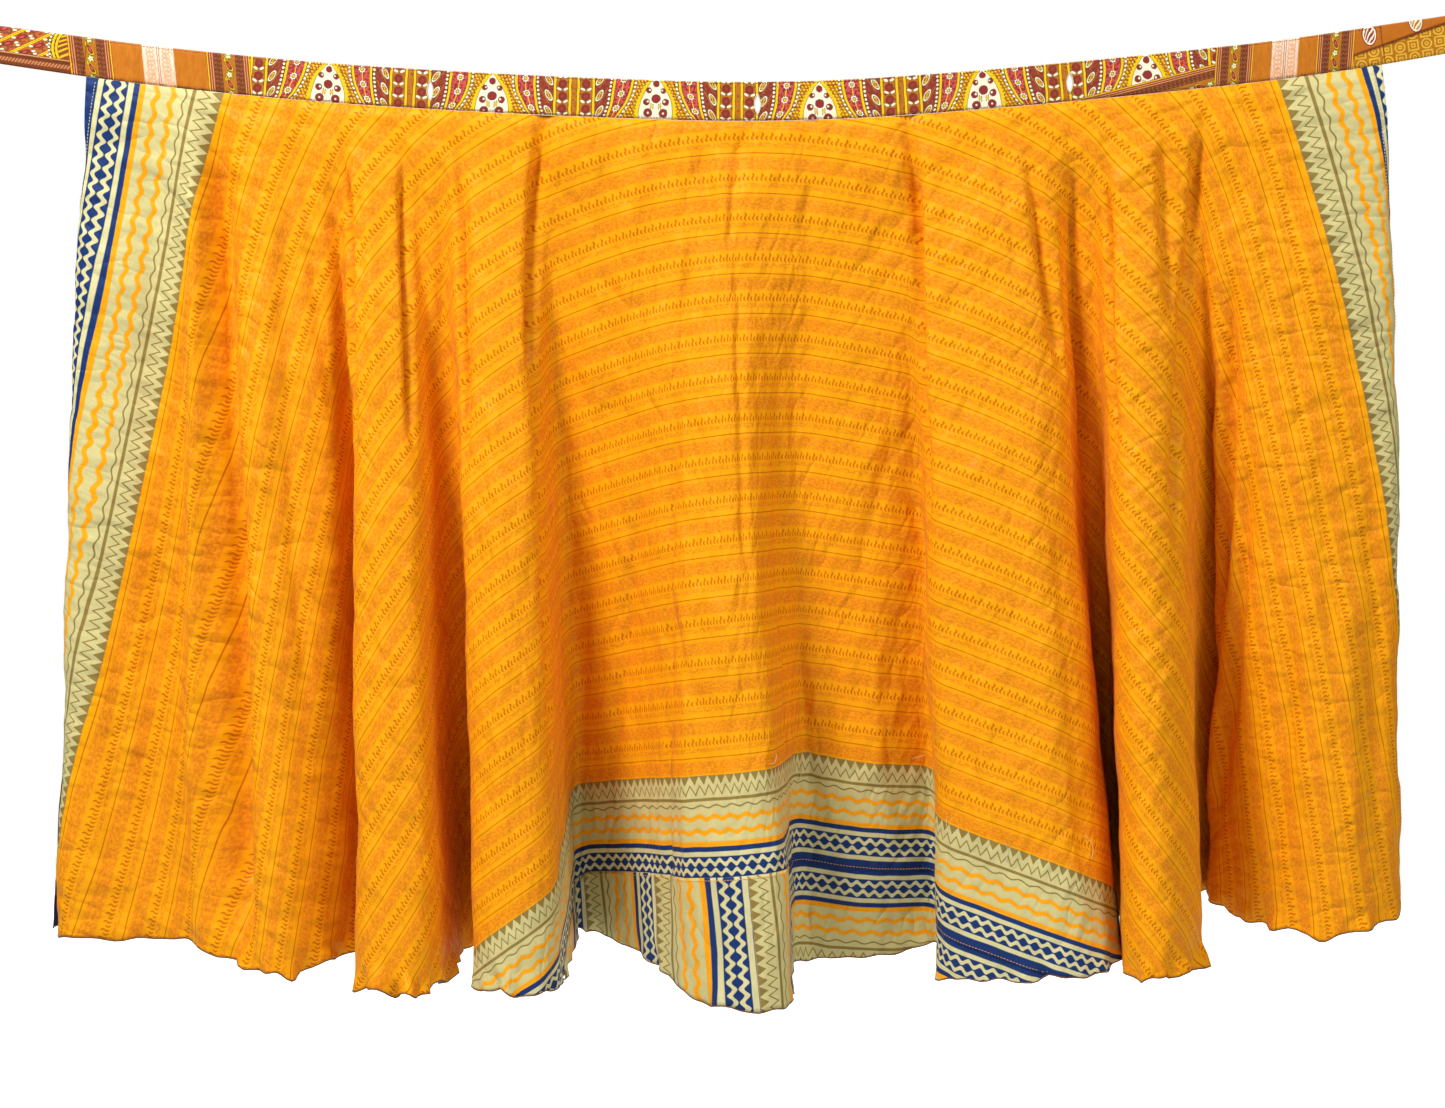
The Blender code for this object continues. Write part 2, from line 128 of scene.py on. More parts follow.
floor_turn = np.linspace(0.0, 2.0 * np.pi, FLOOR_SIDES, endpoint=False)
floor_rim = np.stack([FLOOR_RADIUS * np.cos(floor_turn), FLOOR_RADIUS * np.sin(floor_turn),
                      np.full(FLOOR_SIDES, CAD_BOX[0][2] - FLOOR_BELOW_HEM)], axis=-1)
floor_mesh = bpy.data.meshes.new("floor")
floor_mesh.from_pydata(floor_rim, [], [range(FLOOR_SIDES)])
floor_paint, floor_tree, floor_shader = new_material(
    "floor_paint", Base_Color=FLOOR_COLOUR, Roughness=FLOOR_ROUGHNESS, Emission_Color=WHITE)
floor_seen = add_node(floor_tree, "LightPath").outputs["Is Camera Ray"]
floor_glow = add_node(floor_tree, "MapRange", Value=floor_seen, To_Max=FLOOR_GLOW)
set_inputs(floor_shader, Emission_Strength=floor_glow.outputs["Result"])
floor_mesh.materials.append(floor_paint)
add_object("floor", floor_mesh)

world = bpy.data.worlds.new("studio")
world.use_nodes = True
bpy.context.scene.world = world
sky = world.node_tree
direction = add_node(sky, "TexCoord").outputs["Generated"]
upward = add_node(sky, "SeparateXYZ", Vector=direction).outputs["Z"]
brightness = add_node(sky, "MapRange", Value=upward, From_Min=SKY_BRIGHTENS_FROM,
                      To_Min=SKY_UNDERFOOT, To_Max=SKY_OVERHEAD)
seen = add_node(sky, "LightPath").outputs["Is Camera Ray"]
strength = add_node(sky, "MapRange", Value=seen, To_Min=brightness.outputs["Result"],
                    To_Max=SKY_SEEN)
set_inputs(sky.nodes["Background"], Color=WHITE, Strength=strength.outputs["Result"])

for name, place, size, power in LIGHT_PANELS:
    panel = bpy.data.lights.new(name, "AREA")
    panel.size = size
    panel.energy = power
    lamp = add_object(name, panel)
    lamp.location = place
    toward = VIEW_CENTRE - np.array(place)
    turn = np.arctan2(-toward[0], toward[1])
    lamp.rotation_euler = (np.arctan2(np.hypot(toward[0], toward[1]), -toward[2]), 0.0, turn)


# The outer layer is a half circle of sari cloth, sewn to the waistband along its inner curve.
# Hung from the band it falls in flutes. A point of it is named by its angle round the half
# circle, 0 at the centre front, and by its drop, the cloth between it and the band.
WAIST_RADIUS = 0.369
HEM_RADIUS = 1.229
SARI_WIDTH = 1.127
LEFT_EDGE_ANGLE = -90.0
RIGHT_EDGE_ANGLE = 85.5
BAND_PER_DEGREE = 0.007256
SEAM_GAP = 0.0003
MIDDLE_X = 0.016
BAND_LOW_Z = -0.129
BAND_HEIGHT = 0.038
SMALLEST_COSINE = 0.05
BOW_PEAK = 6.75
# The power by which the folds are shallower near the band
FOLD_SWELL = 1.5

# Height of the band's middle line above its lowest point, along x from the centre front
BAND_COLUMNS = ("x", "height", "softness")
BAND_LINE = (
    (-1.150, 0.1210, 0.060),
    (-0.750, 0.0580, 0.060),
    (-0.597, 0.0370, 0.060),
    (-0.430, 0.0200, 0.080),
    (-0.230, 0.0080, 0.100),
    (0.020, -0.0010, 0.110),
    (0.200, 0.0100, 0.090),
    (0.400, 0.0285, 0.080),
    (0.540, 0.0440, 0.060),
    (0.695, 0.0680, 0.060),
    (1.120, 0.1430, 0.060),
)


# The corners that the folded cloth turns at: angle_top and angle_hem say which part of the
# cloth lies at the corner under the band and at the hem, x and y place it at the hem, bow
# moves it sideways a third of the way down, softness is half the arc that turns, in degrees.
FOLD_COLUMNS = ("place", "angle_top", "angle_hem", "x", "y", "bow", "softness")
FOLDS = (
    ("left edge", -90.0, -90.0, -0.600, 0.078, -0.018, 1.0),
    ("left turn", -88.7, -83.3, -0.732, 0.024, -0.015, 1.6),
    ("left front", -87.6, -82.5, -0.688, -0.006, -0.003, 1.4),
    ("left trough", -77.7, -78.1, -0.583, 0.038, 0.008, 2.6),
    ("left flute", -68.7, -72.1, -0.476, -0.050, -0.002, 1.8),
    ("left flute end", -61.5, -69.2, -0.430, 0.004, 0.000, 1.4),
    ("first fold in", -58.4, -67.8, -0.406, 0.036, 0.000, 1.0),
    ("first fold floor", -57.6, -62.9, -0.384, 0.148, 0.000, 1.0),
    ("first fold back", -56.8, -61.8, -0.366, 0.150, 0.000, 1.0),
    ("second flute left", -55.8, -53.4, -0.397, -0.050, 0.006, 1.3),
    ("second flute front", -51.5, -50.9, -0.350, -0.078, 0.000, 1.6),
    ("second flute right", -48.4, -48.5, -0.314, -0.056, 0.004, 1.1),
    ("second fold in", -45.8, -41.0, -0.296, 0.118, 0.000, 1.2),
    ("second fold back", -43.0, -39.3, -0.262, 0.124, 0.000, 1.2),
    ("third flute left", -40.0, -32.5, -0.280, -0.048, 0.000, 1.2),
    ("third flute front", -35.5, -29.7, -0.238, -0.082, 0.000, 1.7),
    ("third flute right", -31.5, -26.6, -0.190, -0.052, 0.000, 1.5),
    ("third fold floor", -28.2, -17.5, -0.184, 0.164, 0.000, 1.4),
    ("centre left", -25.0, -15.8, -0.150, 0.138, 0.000, 1.6),
    ("centre slope", -19.0, -11.6, -0.093, 0.070, 0.000, 1.8),
    ("centre crease", -10.5, -7.4, -0.057, -0.034, 0.000, 1.2),
    ("centre front", -5.0, -4.3, -0.001, -0.080, 0.000, 1.6),
    ("knife edge", -1.2, -2.2, 0.038, -0.060, -0.010, 0.9),
    ("knife back", 5.6, 4.9, 0.047, 0.098, 0.004, 1.2),
    ("recess middle", 14.0, 8.8, 0.128, 0.078, 0.000, 2.2),
    ("recess right", 21.0, 12.4, 0.206, 0.116, 0.000, 1.2),
    ("fourth flute left", 23.6, 18.4, 0.190, -0.014, -0.004, 1.2),
    ("fourth flute front", 28.0, 21.8, 0.256, -0.050, 0.000, 2.0),
    ("fourth flute side", 34.0, 26.0, 0.336, -0.062, 0.000, 2.0),
    ("fourth flute right", 37.6, 29.4, 0.381, 0.018, 0.000, 1.4),
    ("fourth fold floor", 41.5, 36.3, 0.388, 0.178, 0.000, 1.1),
    ("fourth fold back", 45.5, 37.2, 0.405, 0.182, 0.000, 1.1),
    ("fifth flute left", 49.0, 47.1, 0.374, -0.048, -0.006, 1.4),
    ("fifth flute front", 51.8, 49.2, 0.406, -0.080, 0.000, 1.5),
    ("fifth flute right", 54.6, 52.6, 0.458, -0.012, 0.004, 1.6),
    ("fifth fold floor", 57.6, 61.0, 0.482, 0.178, 0.012, 1.2),
    ("fifth fold behind", 58.8, 65.0, 0.550, 0.232, 0.006, 1.1),
    ("right panel left", 60.4, 69.3, 0.486, 0.160, 0.014, 1.1),
    ("right panel slope", 64.2, 73.8, 0.532, 0.084, 0.000, 1.8),
    ("right panel front", 72.5, 78.2, 0.603, 0.012, -0.006, 2.0),
    ("right turn", 84.0, 82.2, 0.684, 0.064, 0.014, 1.6),
    ("right edge", 85.5, 85.5, 0.672, 0.132, 0.009, 1.2),
)

# How much longer the cloth has hung out at the hem, softness in degrees
HEM_COLUMNS = ("angle", "extra", "softness")
HEM_LINE = (
    (-90.0, 0.006, 1.0),
    (-84.0, 0.004, 1.6),
    (-77.5, -0.004, 1.4),
    (-72.4, 0.021, 1.4),
    (-66.0, 0.010, 3.0),
    (-51.0, 0.018, 3.0),
    (-41.0, 0.008, 4.0),
    (-28.0, 0.008, 4.0),
    (-13.0, 0.002, 2.6),
    (-4.5, 0.021, 2.2),
    (5.0, 0.008, 2.0),
    (12.0, 0.008, 3.0),
    (22.0, 0.003, 3.0),
    (30.0, 0.012, 3.0),
    (44.0, 0.008, 4.0),
    (51.5, 0.014, 2.6),
    (61.0, 0.005, 3.0),
    (70.0, 0.006, 3.0),
    (77.0, 0.015, 2.6),
    (85.5, -0.002, 1.0),
)


def columns(table, names, *wanted):
    """The wanted columns of a table, as arrays."""
    found = list(zip(*table))
    return [np.array(found[names.index(name)]) for name in wanted]


def soft_ramp(distance, softness):
    """Zero before a corner, the distance after it, and a parabola across the corner."""
    near = np.clip(distance, -softness, softness)
    return (near + softness) ** 2 / (4.0 * softness) + np.maximum(distance - softness, 0.0)


def soft_run(reach, values, softness):
    """The value on a line of straight stretches whose corners are rounded.

    The last axis of each array goes over the corners. reach is how far the wanted place lies
    past each corner, values are the corners' own values.
    """
    slopes = np.diff(values) / -np.diff(reach)
    turns = np.diff(slopes)
    start = values[..., 0] + slopes[..., 0] * reach[..., 0]
    return start + (turns * soft_ramp(reach[..., 1:-1], softness[1:-1])).sum(axis=-1)


def band_height(x):
    """Height over the origin of the band's middle line, at x from the centre front."""
    places, heights, softness = columns(BAND_LINE, BAND_COLUMNS, *BAND_COLUMNS)
    reach = np.asarray(x, float)[..., None] - places
    return BAND_LOW_Z + soft_run(reach, np.broadcast_to(heights, reach.shape), softness)


def fold_growth(drop):
    """How deep the folds are at a drop, as a share of their depth at the hem.

    Cloth of the half circle is longer round than the band it hangs from, by a ratio that
    grows with the drop. Folds that take up a ratio are as deep as the root of its square
    less one. Near the band the soft cloth swells out and its folds are shallower still, by a
    power.
    """
    band_radius = np.degrees(BAND_PER_DEGREE)
    ratio = np.maximum((WAIST_RADIUS + drop) / band_radius, 1.0)
    hem_ratio = HEM_RADIUS / band_radius
    return np.sqrt((ratio**2 - 1.0) / (hem_ratio**2 - 1.0)) ** FOLD_SWELL


def hung_points(folds, angle, drop):
    """Points of the cloth, hung from the band: arrays of angles and drops give x, y, z.

    The corners' places at the drop give x and y. A point then hangs as far from its own
    place on the band as its drop, and that gives z.
    """
    top, hem, x_hem, y_hem, bow, softness = columns(folds, FOLD_COLUMNS, *FOLD_COLUMNS[1:])
    share = (drop / (HEM_RADIUS - WAIST_RADIUS))[..., None]
    corner_angle = top + (hem - top) * share
    x_top = top * BAND_PER_DEGREE
    bowed = bow * BOW_PEAK * share * (1.0 - share) ** 2
    corner_x = x_top + (x_hem - x_top) * share + bowed
    corner_y = y_hem * fold_growth(drop)[..., None]
    reach = angle[..., None] - corner_angle
    x = soft_run(reach, corner_x, softness)
    y = soft_run(reach, corner_y, softness)
    band_x = angle * BAND_PER_DEGREE
    seam_z = band_height(band_x) - BAND_HEIGHT / 2.0 - SEAM_GAP
    z = seam_z - np.sqrt(np.maximum(drop**2 - (x - band_x) ** 2 - y**2, 0.0))
    return np.stack([x + MIDDLE_X, y, z], axis=-1)


# Curls of the overlocked hem: length of a wave and its height, how far up they reach, and
# how much longer the hem is in each, by its own wave and height
HEM_WAVES = ((0.034, 0.0016), (0.047, 0.0018), (0.027, 0.0008))
HEM_WAVE_REACH = 0.016
HEM_SCALLOPS = ((0.053, 0.0011), (0.029, 0.0007), (0.091, 0.0012))
# Places where the hem is stretched most and curls over in lobes: angle, half width in degrees,
# how much more it curls
HEM_LOBES = (
    (-70.5, 3.0, 1.6),
    (-50.5, 2.6, 3.2),
    (-45.5, 1.4, 2.4),
    (-30.5, 1.8, 1.0),
    (24.0, 2.6, 0.8),
    (50.5, 2.6, 2.0),
    (54.0, 1.2, 3.4),
    (77.0, 3.0, 0.9),
)


def hem_sine(angle, wave):
    """A sine wave along the hem, of this length in metres."""
    return np.sin(2.0 * np.pi * HEM_RADIUS * np.radians(angle) / wave)


def hem_curl(angle):
    """How strongly the hem curls: 1, and more in a bell curve at each lobe."""
    curl = np.ones_like(angle)
    for middle, half_width, more in HEM_LOBES:
        curl = curl + more * np.exp(-(((angle - middle) / half_width) ** 2))
    return curl


def full_hem(angle):
    """Drop of the hem: the cut's own, what the cloth has hung out since, and its scallops."""
    angle = np.asarray(angle, float)
    places, extra, softness = columns(HEM_LINE, HEM_COLUMNS, *HEM_COLUMNS)
    reach = angle[..., None] - places
    drop = soft_run(reach, np.broadcast_to(extra, reach.shape), softness)
    for wave, height in HEM_SCALLOPS:
        drop = drop + height * hem_curl(angle) * hem_sine(angle, wave)
    return HEM_RADIUS - WAIST_RADIUS + drop


def unit(vectors):
    """The vectors, each one metre long."""
    return vectors / np.linalg.norm(vectors, axis=-1, keepdims=True)


def facing(grid):
    """Unit normals of a grid, on the side that faces the viewer when it hangs flat."""
    return unit(np.cross(np.gradient(grid, axis=0), np.gradient(grid, axis=1)))


def selvedge_drop(angle):
    """Drop of the sari's lower edge, a straight line across the half circle."""
    across = np.maximum(np.cos(np.radians(angle)), SMALLEST_COSINE)
    return np.minimum(SARI_WIDTH / across - WAIST_RADIUS, full_hem(angle))


CREASE_COLUMNS = ("angle_1", "drop_1", "angle_2", "drop_2", "half_width", "depth")
# Soft troughs, and ridges where the depth is below zero, between two places of the cloth
CREASES = (
    (-75.6, 0.06, -76.4, 0.86, 0.017, -0.0220),
    (-72.6, 0.05, -73.3, 0.46, 0.014, 0.0260),
    (-73.2, 0.42, -74.3, 0.84, 0.017, 0.0380),
    (-61.4, 0.03, -61.8, 0.30, 0.009, 0.0053),
    (-65.9, 0.10, -69.8, 0.42, 0.009, -0.0045),
    (-62.7, 0.05, -67.8, 0.60, 0.009, 0.0045),
    (-55.6, 0.05, -54.8, 0.34, 0.006, 0.0120),
    (-52.5, 0.05, -51.8, 0.31, 0.008, -0.0045),
    (-47.5, 0.06, -48.4, 0.32, 0.007, 0.0140),
    (-43.8, 0.06, -43.9, 0.22, 0.008, -0.0045),
    (-39.0, 0.05, -36.7, 0.34, 0.006, 0.0110),
    (-28.0, 0.01, -29.8, 0.24, 0.008, 0.0160),
    (-29.9, 0.18, -26.8, 0.66, 0.008, 0.0075),
    (-19.9, 0.03, -18.3, 0.24, 0.007, 0.0045),
    (-14.9, 0.02, -15.9, 0.18, 0.008, -0.0033),
    (-20.0, 0.50, -18.6, 0.86, 0.012, 0.0045),
    (-18.0, 0.27, -19.7, 0.35, 0.007, 0.0042),
    (-14.7, 0.36, -16.6, 0.70, 0.009, 0.0060),
    (-6.9, 0.03, -5.2, 0.13, 0.006, 0.0053),
    (-3.9, 0.03, -4.0, 0.12, 0.008, -0.0030),
    (-0.9, 0.01, -3.4, 0.13, 0.005, 0.0053),
    (-1.8, 0.12, -3.2, 0.46, 0.007, 0.0045),
    (-8.2, 0.12, -10.6, 0.40, 0.006, 0.0048),
    (-10.6, 0.36, -10.5, 0.80, 0.005, 0.0083),
    (-8.6, 0.40, -8.3, 0.78, 0.009, -0.0042),
    (-7.0, 0.47, -1.4, 0.57, 0.007, -0.0037),
    (-9.9, 0.50, -6.8, 0.60, 0.006, 0.0039),
    (2.6, 0.28, 2.3, 0.62, 0.009, 0.0067),
    (7.6, 0.01, 7.0, 0.30, 0.009, 0.0039),
    (11.3, 0.43, 15.9, 0.32, 0.008, 0.0026),
    (14.7, 0.33, 9.4, 0.52, 0.008, 0.0032),
    (5.3, 0.53, 6.3, 0.70, 0.007, 0.0051),
    (5.5, 0.35, 6.1, 0.49, 0.007, -0.0037),
    (11.4, 0.53, 10.7, 0.67, 0.008, -0.0045),
    (8.0, 0.54, 7.2, 0.65, 0.007, 0.0042),
    (21.4, 0.02, 20.8, 0.38, 0.008, 0.0180),
    (15.9, 0.37, 18.8, 0.66, 0.009, 0.0063),
    (26.0, 0.02, 25.2, 0.24, 0.009, 0.0027),
    (29.0, 0.31, 25.6, 0.66, 0.012, 0.0033),
    (24.3, 0.44, 22.8, 0.68, 0.010, -0.0030),
    (31.3, 0.45, 27.7, 0.78, 0.010, 0.0033),
    (32.9, 0.05, 32.6, 0.16, 0.006, 0.0045),
    (36.5, 0.06, 35.6, 0.24, 0.007, 0.0120),
    (39.3, 0.10, 36.3, 0.28, 0.006, -0.0045),
    (42.8, 0.06, 39.5, 0.37, 0.007, 0.0150),
    (48.0, 0.07, 47.8, 0.35, 0.007, 0.0120),
    (53.5, 0.33, 53.2, 0.41, 0.008, 0.0036),
    (55.5, 0.04, 54.5, 0.22, 0.008, 0.0100),
    (58.3, 0.05, 57.2, 0.17, 0.007, -0.0045),
    (61.6, 0.03, 55.9, 0.25, 0.008, 0.0090),
    (56.0, 0.22, 52.9, 0.44, 0.006, 0.0063),
    (65.6, 0.20, 66.6, 0.66, 0.015, 0.0190),
    (68.7, 0.06, 68.9, 0.24, 0.008, -0.0045),
    (68.9, 0.36, 69.4, 0.78, 0.013, 0.0120),
    (73.2, 0.08, 74.5, 0.36, 0.008, 0.0042),
    (76.1, 0.34, 77.1, 0.58, 0.008, 0.0042),
    (78.2, 0.53, 78.8, 0.81, 0.009, -0.0045),
    (80.7, 0.37, 80.4, 0.78, 0.008, 0.0045),
    (73.9, 0.54, 74.3, 0.82, 0.009, 0.0042),
    (-79.7, 0.41, -79.7, 0.74, 0.014, 0.0070),
    (-77.2, 0.49, -78.1, 0.80, 0.010, -0.0042),
    (-81.9, 0.53, -81.3, 0.82, 0.009, 0.0042),
    (-76.0, 0.66, -74.4, 0.77, 0.007, 0.0048),
    (-81.0, 0.05, -80.6, 0.42, 0.012, 0.0060),
    (-33.5, 0.30, -31.2, 0.72, 0.010, -0.0030),
    (-51.5, 0.45, -51.0, 0.78, 0.009, -0.0033),
)
# Slight waves over the whole cloth: turns per metre across and down it, turn at the start,
# and height
SWELLS = (
    (5.3, 2.1, 0.3, 0.0011),
    (-3.1, 4.3, 1.9, 0.0009),
    (8.7, 6.1, 4.0, 0.0006),
    (-11.9, 7.7, 2.6, 0.0004),
    (23.0, 14.0, 0.7, 0.0003),
    (-31.0, 11.0, 5.2, 0.00022),
    (41.0, -9.0, 3.3, 0.00016),
)
# Over which drop below the band the swells grow to their full height
SWELLS_FROM = 0.05
CLOTH_THICKNESS = 0.0005
OUTER_OFFSET = 0.0010
LAYERS_PART_OVER = 0.06
LAYERS_CLOSE_AT_BAND = 0.25
PANEL_COLUMNS = 540
PANEL_ROWS = 74
PANEL_HEM_ROWS = 12
HEM_ROWS_FROM = 0.955
COLUMN_CROWDING = 2.2
SETTLING_ROUNDS = 5
SAMPLES_OF_CROWDING = 6000


def fine_places(folds, first, last, count):
    """Fold numbers of a grid's columns, closer together where the cloth turns.

    Columns lie evenly along the running sum of one and a bell curve at each corner.
    """
    hem, softness = columns(folds, FOLD_COLUMNS, "angle_hem", "softness")
    angle = np.linspace(first, last, SAMPLES_OF_CROWDING)
    bells = np.exp(-(((angle[:, None] - hem) / softness) ** 2)).sum(axis=1)
    density = 1.0 + COLUMN_CROWDING * bells
    run = np.concatenate([[0.0], np.cumsum((density[1:] + density[:-1]) / 2.0)])
    wanted = np.linspace(0.0, run[-1], count)
    return np.interp(np.interp(wanted, run, angle), hem, np.arange(len(folds)))


def settled(folds, places, drops_at):
    """Angles and drops of a grid whose columns run along the folds.

    A column's angle changes with its drop and its rows' drops with its angle, so both are
    worked out in turn for a few rounds.
    """
    top, hem = columns(folds, FOLD_COLUMNS, "angle_top", "angle_hem")
    numbers = np.arange(len(folds))
    top = np.interp(places, numbers, top)
    hem = np.interp(places, numbers, hem)
    drop = drops_at(hem[None, :])
    for _ in range(SETTLING_ROUNDS):
        angle = top + (hem - top) * drop / (HEM_RADIUS - WAIST_RADIUS)
        drop = drops_at(angle)
    return angle, drop


def cut_places(angle, drop):
    """Where a point lay on the flat cloth: across and down it, in metres."""
    radius = WAIST_RADIUS + drop
    turned = np.radians(angle)
    return np.stack([radius * np.sin(turned), radius * np.cos(turned)], axis=-1)


def creased(angle, drop, hem):
    """How far each point stands out of the smooth folds.

    A crease is a bell curve across a line from one place to another, and dies away at the
    line's ends. To these are added sine waves over the cloth, and others along the hem that
    fade a little way up.
    """
    cut = cut_places(angle, drop)
    angle_1, drop_1, angle_2, drop_2, half_width, depth = columns(
        CREASES, CREASE_COLUMNS, *CREASE_COLUMNS)
    start = cut_places(angle_1, drop_1)
    line = cut_places(angle_2, drop_2) - start
    length = np.linalg.norm(line, axis=-1)
    along = line / length[:, None]
    reach = cut[..., None, :] - start
    share = (reach * along).sum(axis=-1) / length
    off_line = reach[..., 0] * along[:, 1] - reach[..., 1] * along[:, 0]
    fading = np.exp(-(2.0 * share - 1.0) ** 6)
    lift = -(depth * fading * np.exp(-(off_line / half_width) ** 2)).sum(axis=-1)
    for across, down, start_turn, height in SWELLS:
        turn = 2.0 * np.pi * (cut[..., 0] * across + cut[..., 1] * down) + start_turn
        lift = lift + height * np.sin(turn) * np.minimum(drop / SWELLS_FROM, 1.0)
    fade = np.exp(-(((hem - drop) / HEM_WAVE_REACH) ** 2)) * hem_curl(angle)
    for wave, height in HEM_WAVES:
        lift = lift + height * fade * hem_sine(angle, wave)
    return lift


def panel_rows(lower_edge):
    """Drops of a panel's rows: even ones, then closer ones down to its own lower edge."""

    def drops_at(angle):
        upper_share = np.linspace(0.0, HEM_ROWS_FROM, PANEL_ROWS)[:, None]
        lower_share = np.linspace(0.0, 1.0, PANEL_HEM_ROWS + 1)[1:, None]
        last = lower_edge(angle[-1:])
        upper = upper_share * last
        lower = upper[-1:] + (last - upper[-1:]) * lower_share
        return np.concatenate([upper, lower])

    return drops_at


def standing_off(angle, drop, offset):
    """How far a layer's points lie in front of the smooth folds: its own offset, a quarter
    of it at the band where the layers are sewn together, and the creases."""
    parting = np.minimum(LAYERS_CLOSE_AT_BAND + drop / LAYERS_PART_OVER, 1.0)
    return offset * parting + creased(angle, drop, full_hem(angle))


def cloth_grid(folds, places, drops_at, offset):
    """Points, flat places, and normals of a layer that stands off the smooth folds."""
    angle, drop = settled(folds, places, drops_at)
    smooth = hung_points(folds, angle, drop)
    normals = facing(smooth)
    points = smooth + normals * standing_off(angle, drop, offset)[..., None]
    return points, cut_places(angle, drop), normals


def grid_faces(rows, count, closed=False):
    """The four corners of each face of a grid; a closed one also joins its last column to
    its first."""
    number = np.arange(rows * count).reshape(rows, count)
    if closed:
        number = np.concatenate([number, number[:, :1]], axis=1)
    corners = (number[:-1, :-1], number[1:, :-1], number[1:, 1:], number[:-1, 1:])
    return np.stack(corners, axis=-1).reshape(-1, 4)


def add_mesh(name, points, faces, material, flat=None):
    """A mesh object from arrays of points and faces, with each point's flat place as its
    cut map."""
    mesh = bpy.data.meshes.new(name)
    mesh.from_pydata(points.reshape(-1, 3), [], faces)
    if flat is not None:
        corner = np.empty(len(mesh.loops), np.int32)
        mesh.loops.foreach_get("vertex_index", corner)
        layer = mesh.uv_layers.new(name="cut")
        layer.data.foreach_set("uv", flat.reshape(-1, 2)[corner].astype(np.float32).ravel())
    mesh.materials.append(material)
    mesh.shade_smooth()
    made = add_object(name, mesh)
    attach(made, "root")
    return made


def add_layer(name, points, flat, material):
    """A sheet of cloth on a grid of points, with half its thickness on each side of them."""
    piece = add_mesh(name, points, grid_faces(*points.shape[:2]), material, flat)
    wall = piece.modifiers.new("thickness", "SOLIDIFY")
    wall.thickness = CLOTH_THICKNESS
    wall.offset = 0.0
    return piece


def linear(red, green, blue):
    """A colour as the light it sends back, from how it looks on a screen, 0 to 255."""
    shown = np.array([red, green, blue]) / 255.0
    light = np.where(shown > 0.04045, ((shown + 0.055) / 1.055) ** 2.4, shown / 12.92)
    return (*light.tolist(), 1.0)


class Reading:
    """A number that a material works out at each place of a surface.

    Arithmetic on readings adds the Math nodes that do it.
    """

    def __init__(self, socket):
        self.socket = socket

    def made(self, operation, *others, clamped=False):
        """The result of one Math node on the reading and the others."""
        node = add_node(self.socket.id_data, "Math")
        node.operation = operation
        node.use_clamp = clamped
        for entry, value in zip(node.inputs, (self, *others)):
            fill(entry, value)
        return Reading(node.outputs["Value"])

    def __add__(self, other):
        return self.made("ADD", other)

    def __sub__(self, other):
        return self.made("SUBTRACT", other)

    def __rsub__(self, other):
        return self.made("MULTIPLY_ADD", -1.0, other)

    def __mul__(self, other):
        return self.made("MULTIPLY", other)

    def __truediv__(self, other):
        return self.made("DIVIDE", other)

    def __mod__(self, other):
        return self.made("FLOORED_MODULO", other)

    def __abs__(self):
        return self.made("ABSOLUTE")

    def over(self, limit, soft=0.5):
        """1 where the reading is over the limit and 0 under it, with a soft step between."""
        return (self - limit).made("MULTIPLY_ADD", 1.0 / soft, 0.5, clamped=True)

    def under(self, limit, soft=0.5):
        """1 where the reading is under the limit and 0 over it."""
        return 1.0 - self.over(limit, soft)

    def near(self, centre, half, soft=0.5):
        """1 within half of the centre and 0 outside, with a soft edge."""
        outside = abs(self - centre) - half
        return outside.made("MULTIPLY_ADD", -1.0 / soft, 0.5, clamped=True)

    def wave(self, period, height, start=0.0):
        """A sine wave of the reading, of this period and height."""
        turn = self.made("MULTIPLY_ADD", 2.0 * np.pi / period, start)
        return turn.made("SINE") * height

    def zigzag(self, period, height):
        """Straight ramps up from 0 to the height and down again, one pair in each period."""
        return (self / (period / 2.0)).made("PINGPONG", 1.0) * height

    def either(self, other):
        """The greater of the two."""
        return self.made("MAXIMUM", other)


def joined(*readings):
    """The socket of a vector with these readings as its parts."""
    node = add_node(readings[0].socket.id_data, "CombineXYZ")
    for entry, reading in zip(node.inputs, readings):
        fill(entry, reading)
    return node.outputs["Vector"]


def mottle(vector, scale=1.0, detail=2.0):
    """A reading of soft noise between 0 and 1."""
    node = add_node(vector.id_data, "TexNoise", Vector=vector, Scale=scale, Detail=detail)
    return Reading(node.outputs["Fac"])


def mixed(tree, share, under, ink, blend="MIX"):
    """The socket of two colours mixed by a share. Each colour is its numbers or a socket."""
    node = add_node(tree, "Mix")
    node.data_type = "RGBA"
    node.blend_type = blend
    fill(node.inputs["Factor"], share)
    first, second = [entry for entry in node.inputs if entry.type == "RGBA"]
    fill(first, under)
    fill(second, ink)
    return [socket for socket in node.outputs if socket.type == "RGBA"][0]


def painted(mask, under, ink):
    """The under colour with ink laid on it where the mask is 1."""
    return mixed(mask.socket.id_data, mask, under, ink)


def new_group(name, inputs, outputs):
    """An empty node group with these sockets and their kinds, readings of its inputs, and its
    output node's entries."""
    tree = bpy.data.node_groups.new(name, "ShaderNodeTree")
    for side, sockets in (("INPUT", inputs), ("OUTPUT", outputs)):
        for label, kind in sockets.items():
            tree.interface.new_socket(name=label, in_out=side, socket_type="NodeSocket" + kind)
    given = tree.nodes.new("NodeGroupInput").outputs
    put = tree.nodes.new("NodeGroupOutput").inputs
    return tree, [Reading(given[label]) for label in inputs], put


def placed_group(group, **given):
    """The outputs of a node of the group, whose inputs are linked to these readings."""
    tree = next(iter(given.values())).socket.id_data
    node = add_node(tree, "Group")
    node.node_tree = group
    return set_inputs(node, **given).outputs


# The prints are drawn in millimetres, and the weave in metres
MM_PER_METRE = 1000.0
THREADS_PER_METRE = 1500.0
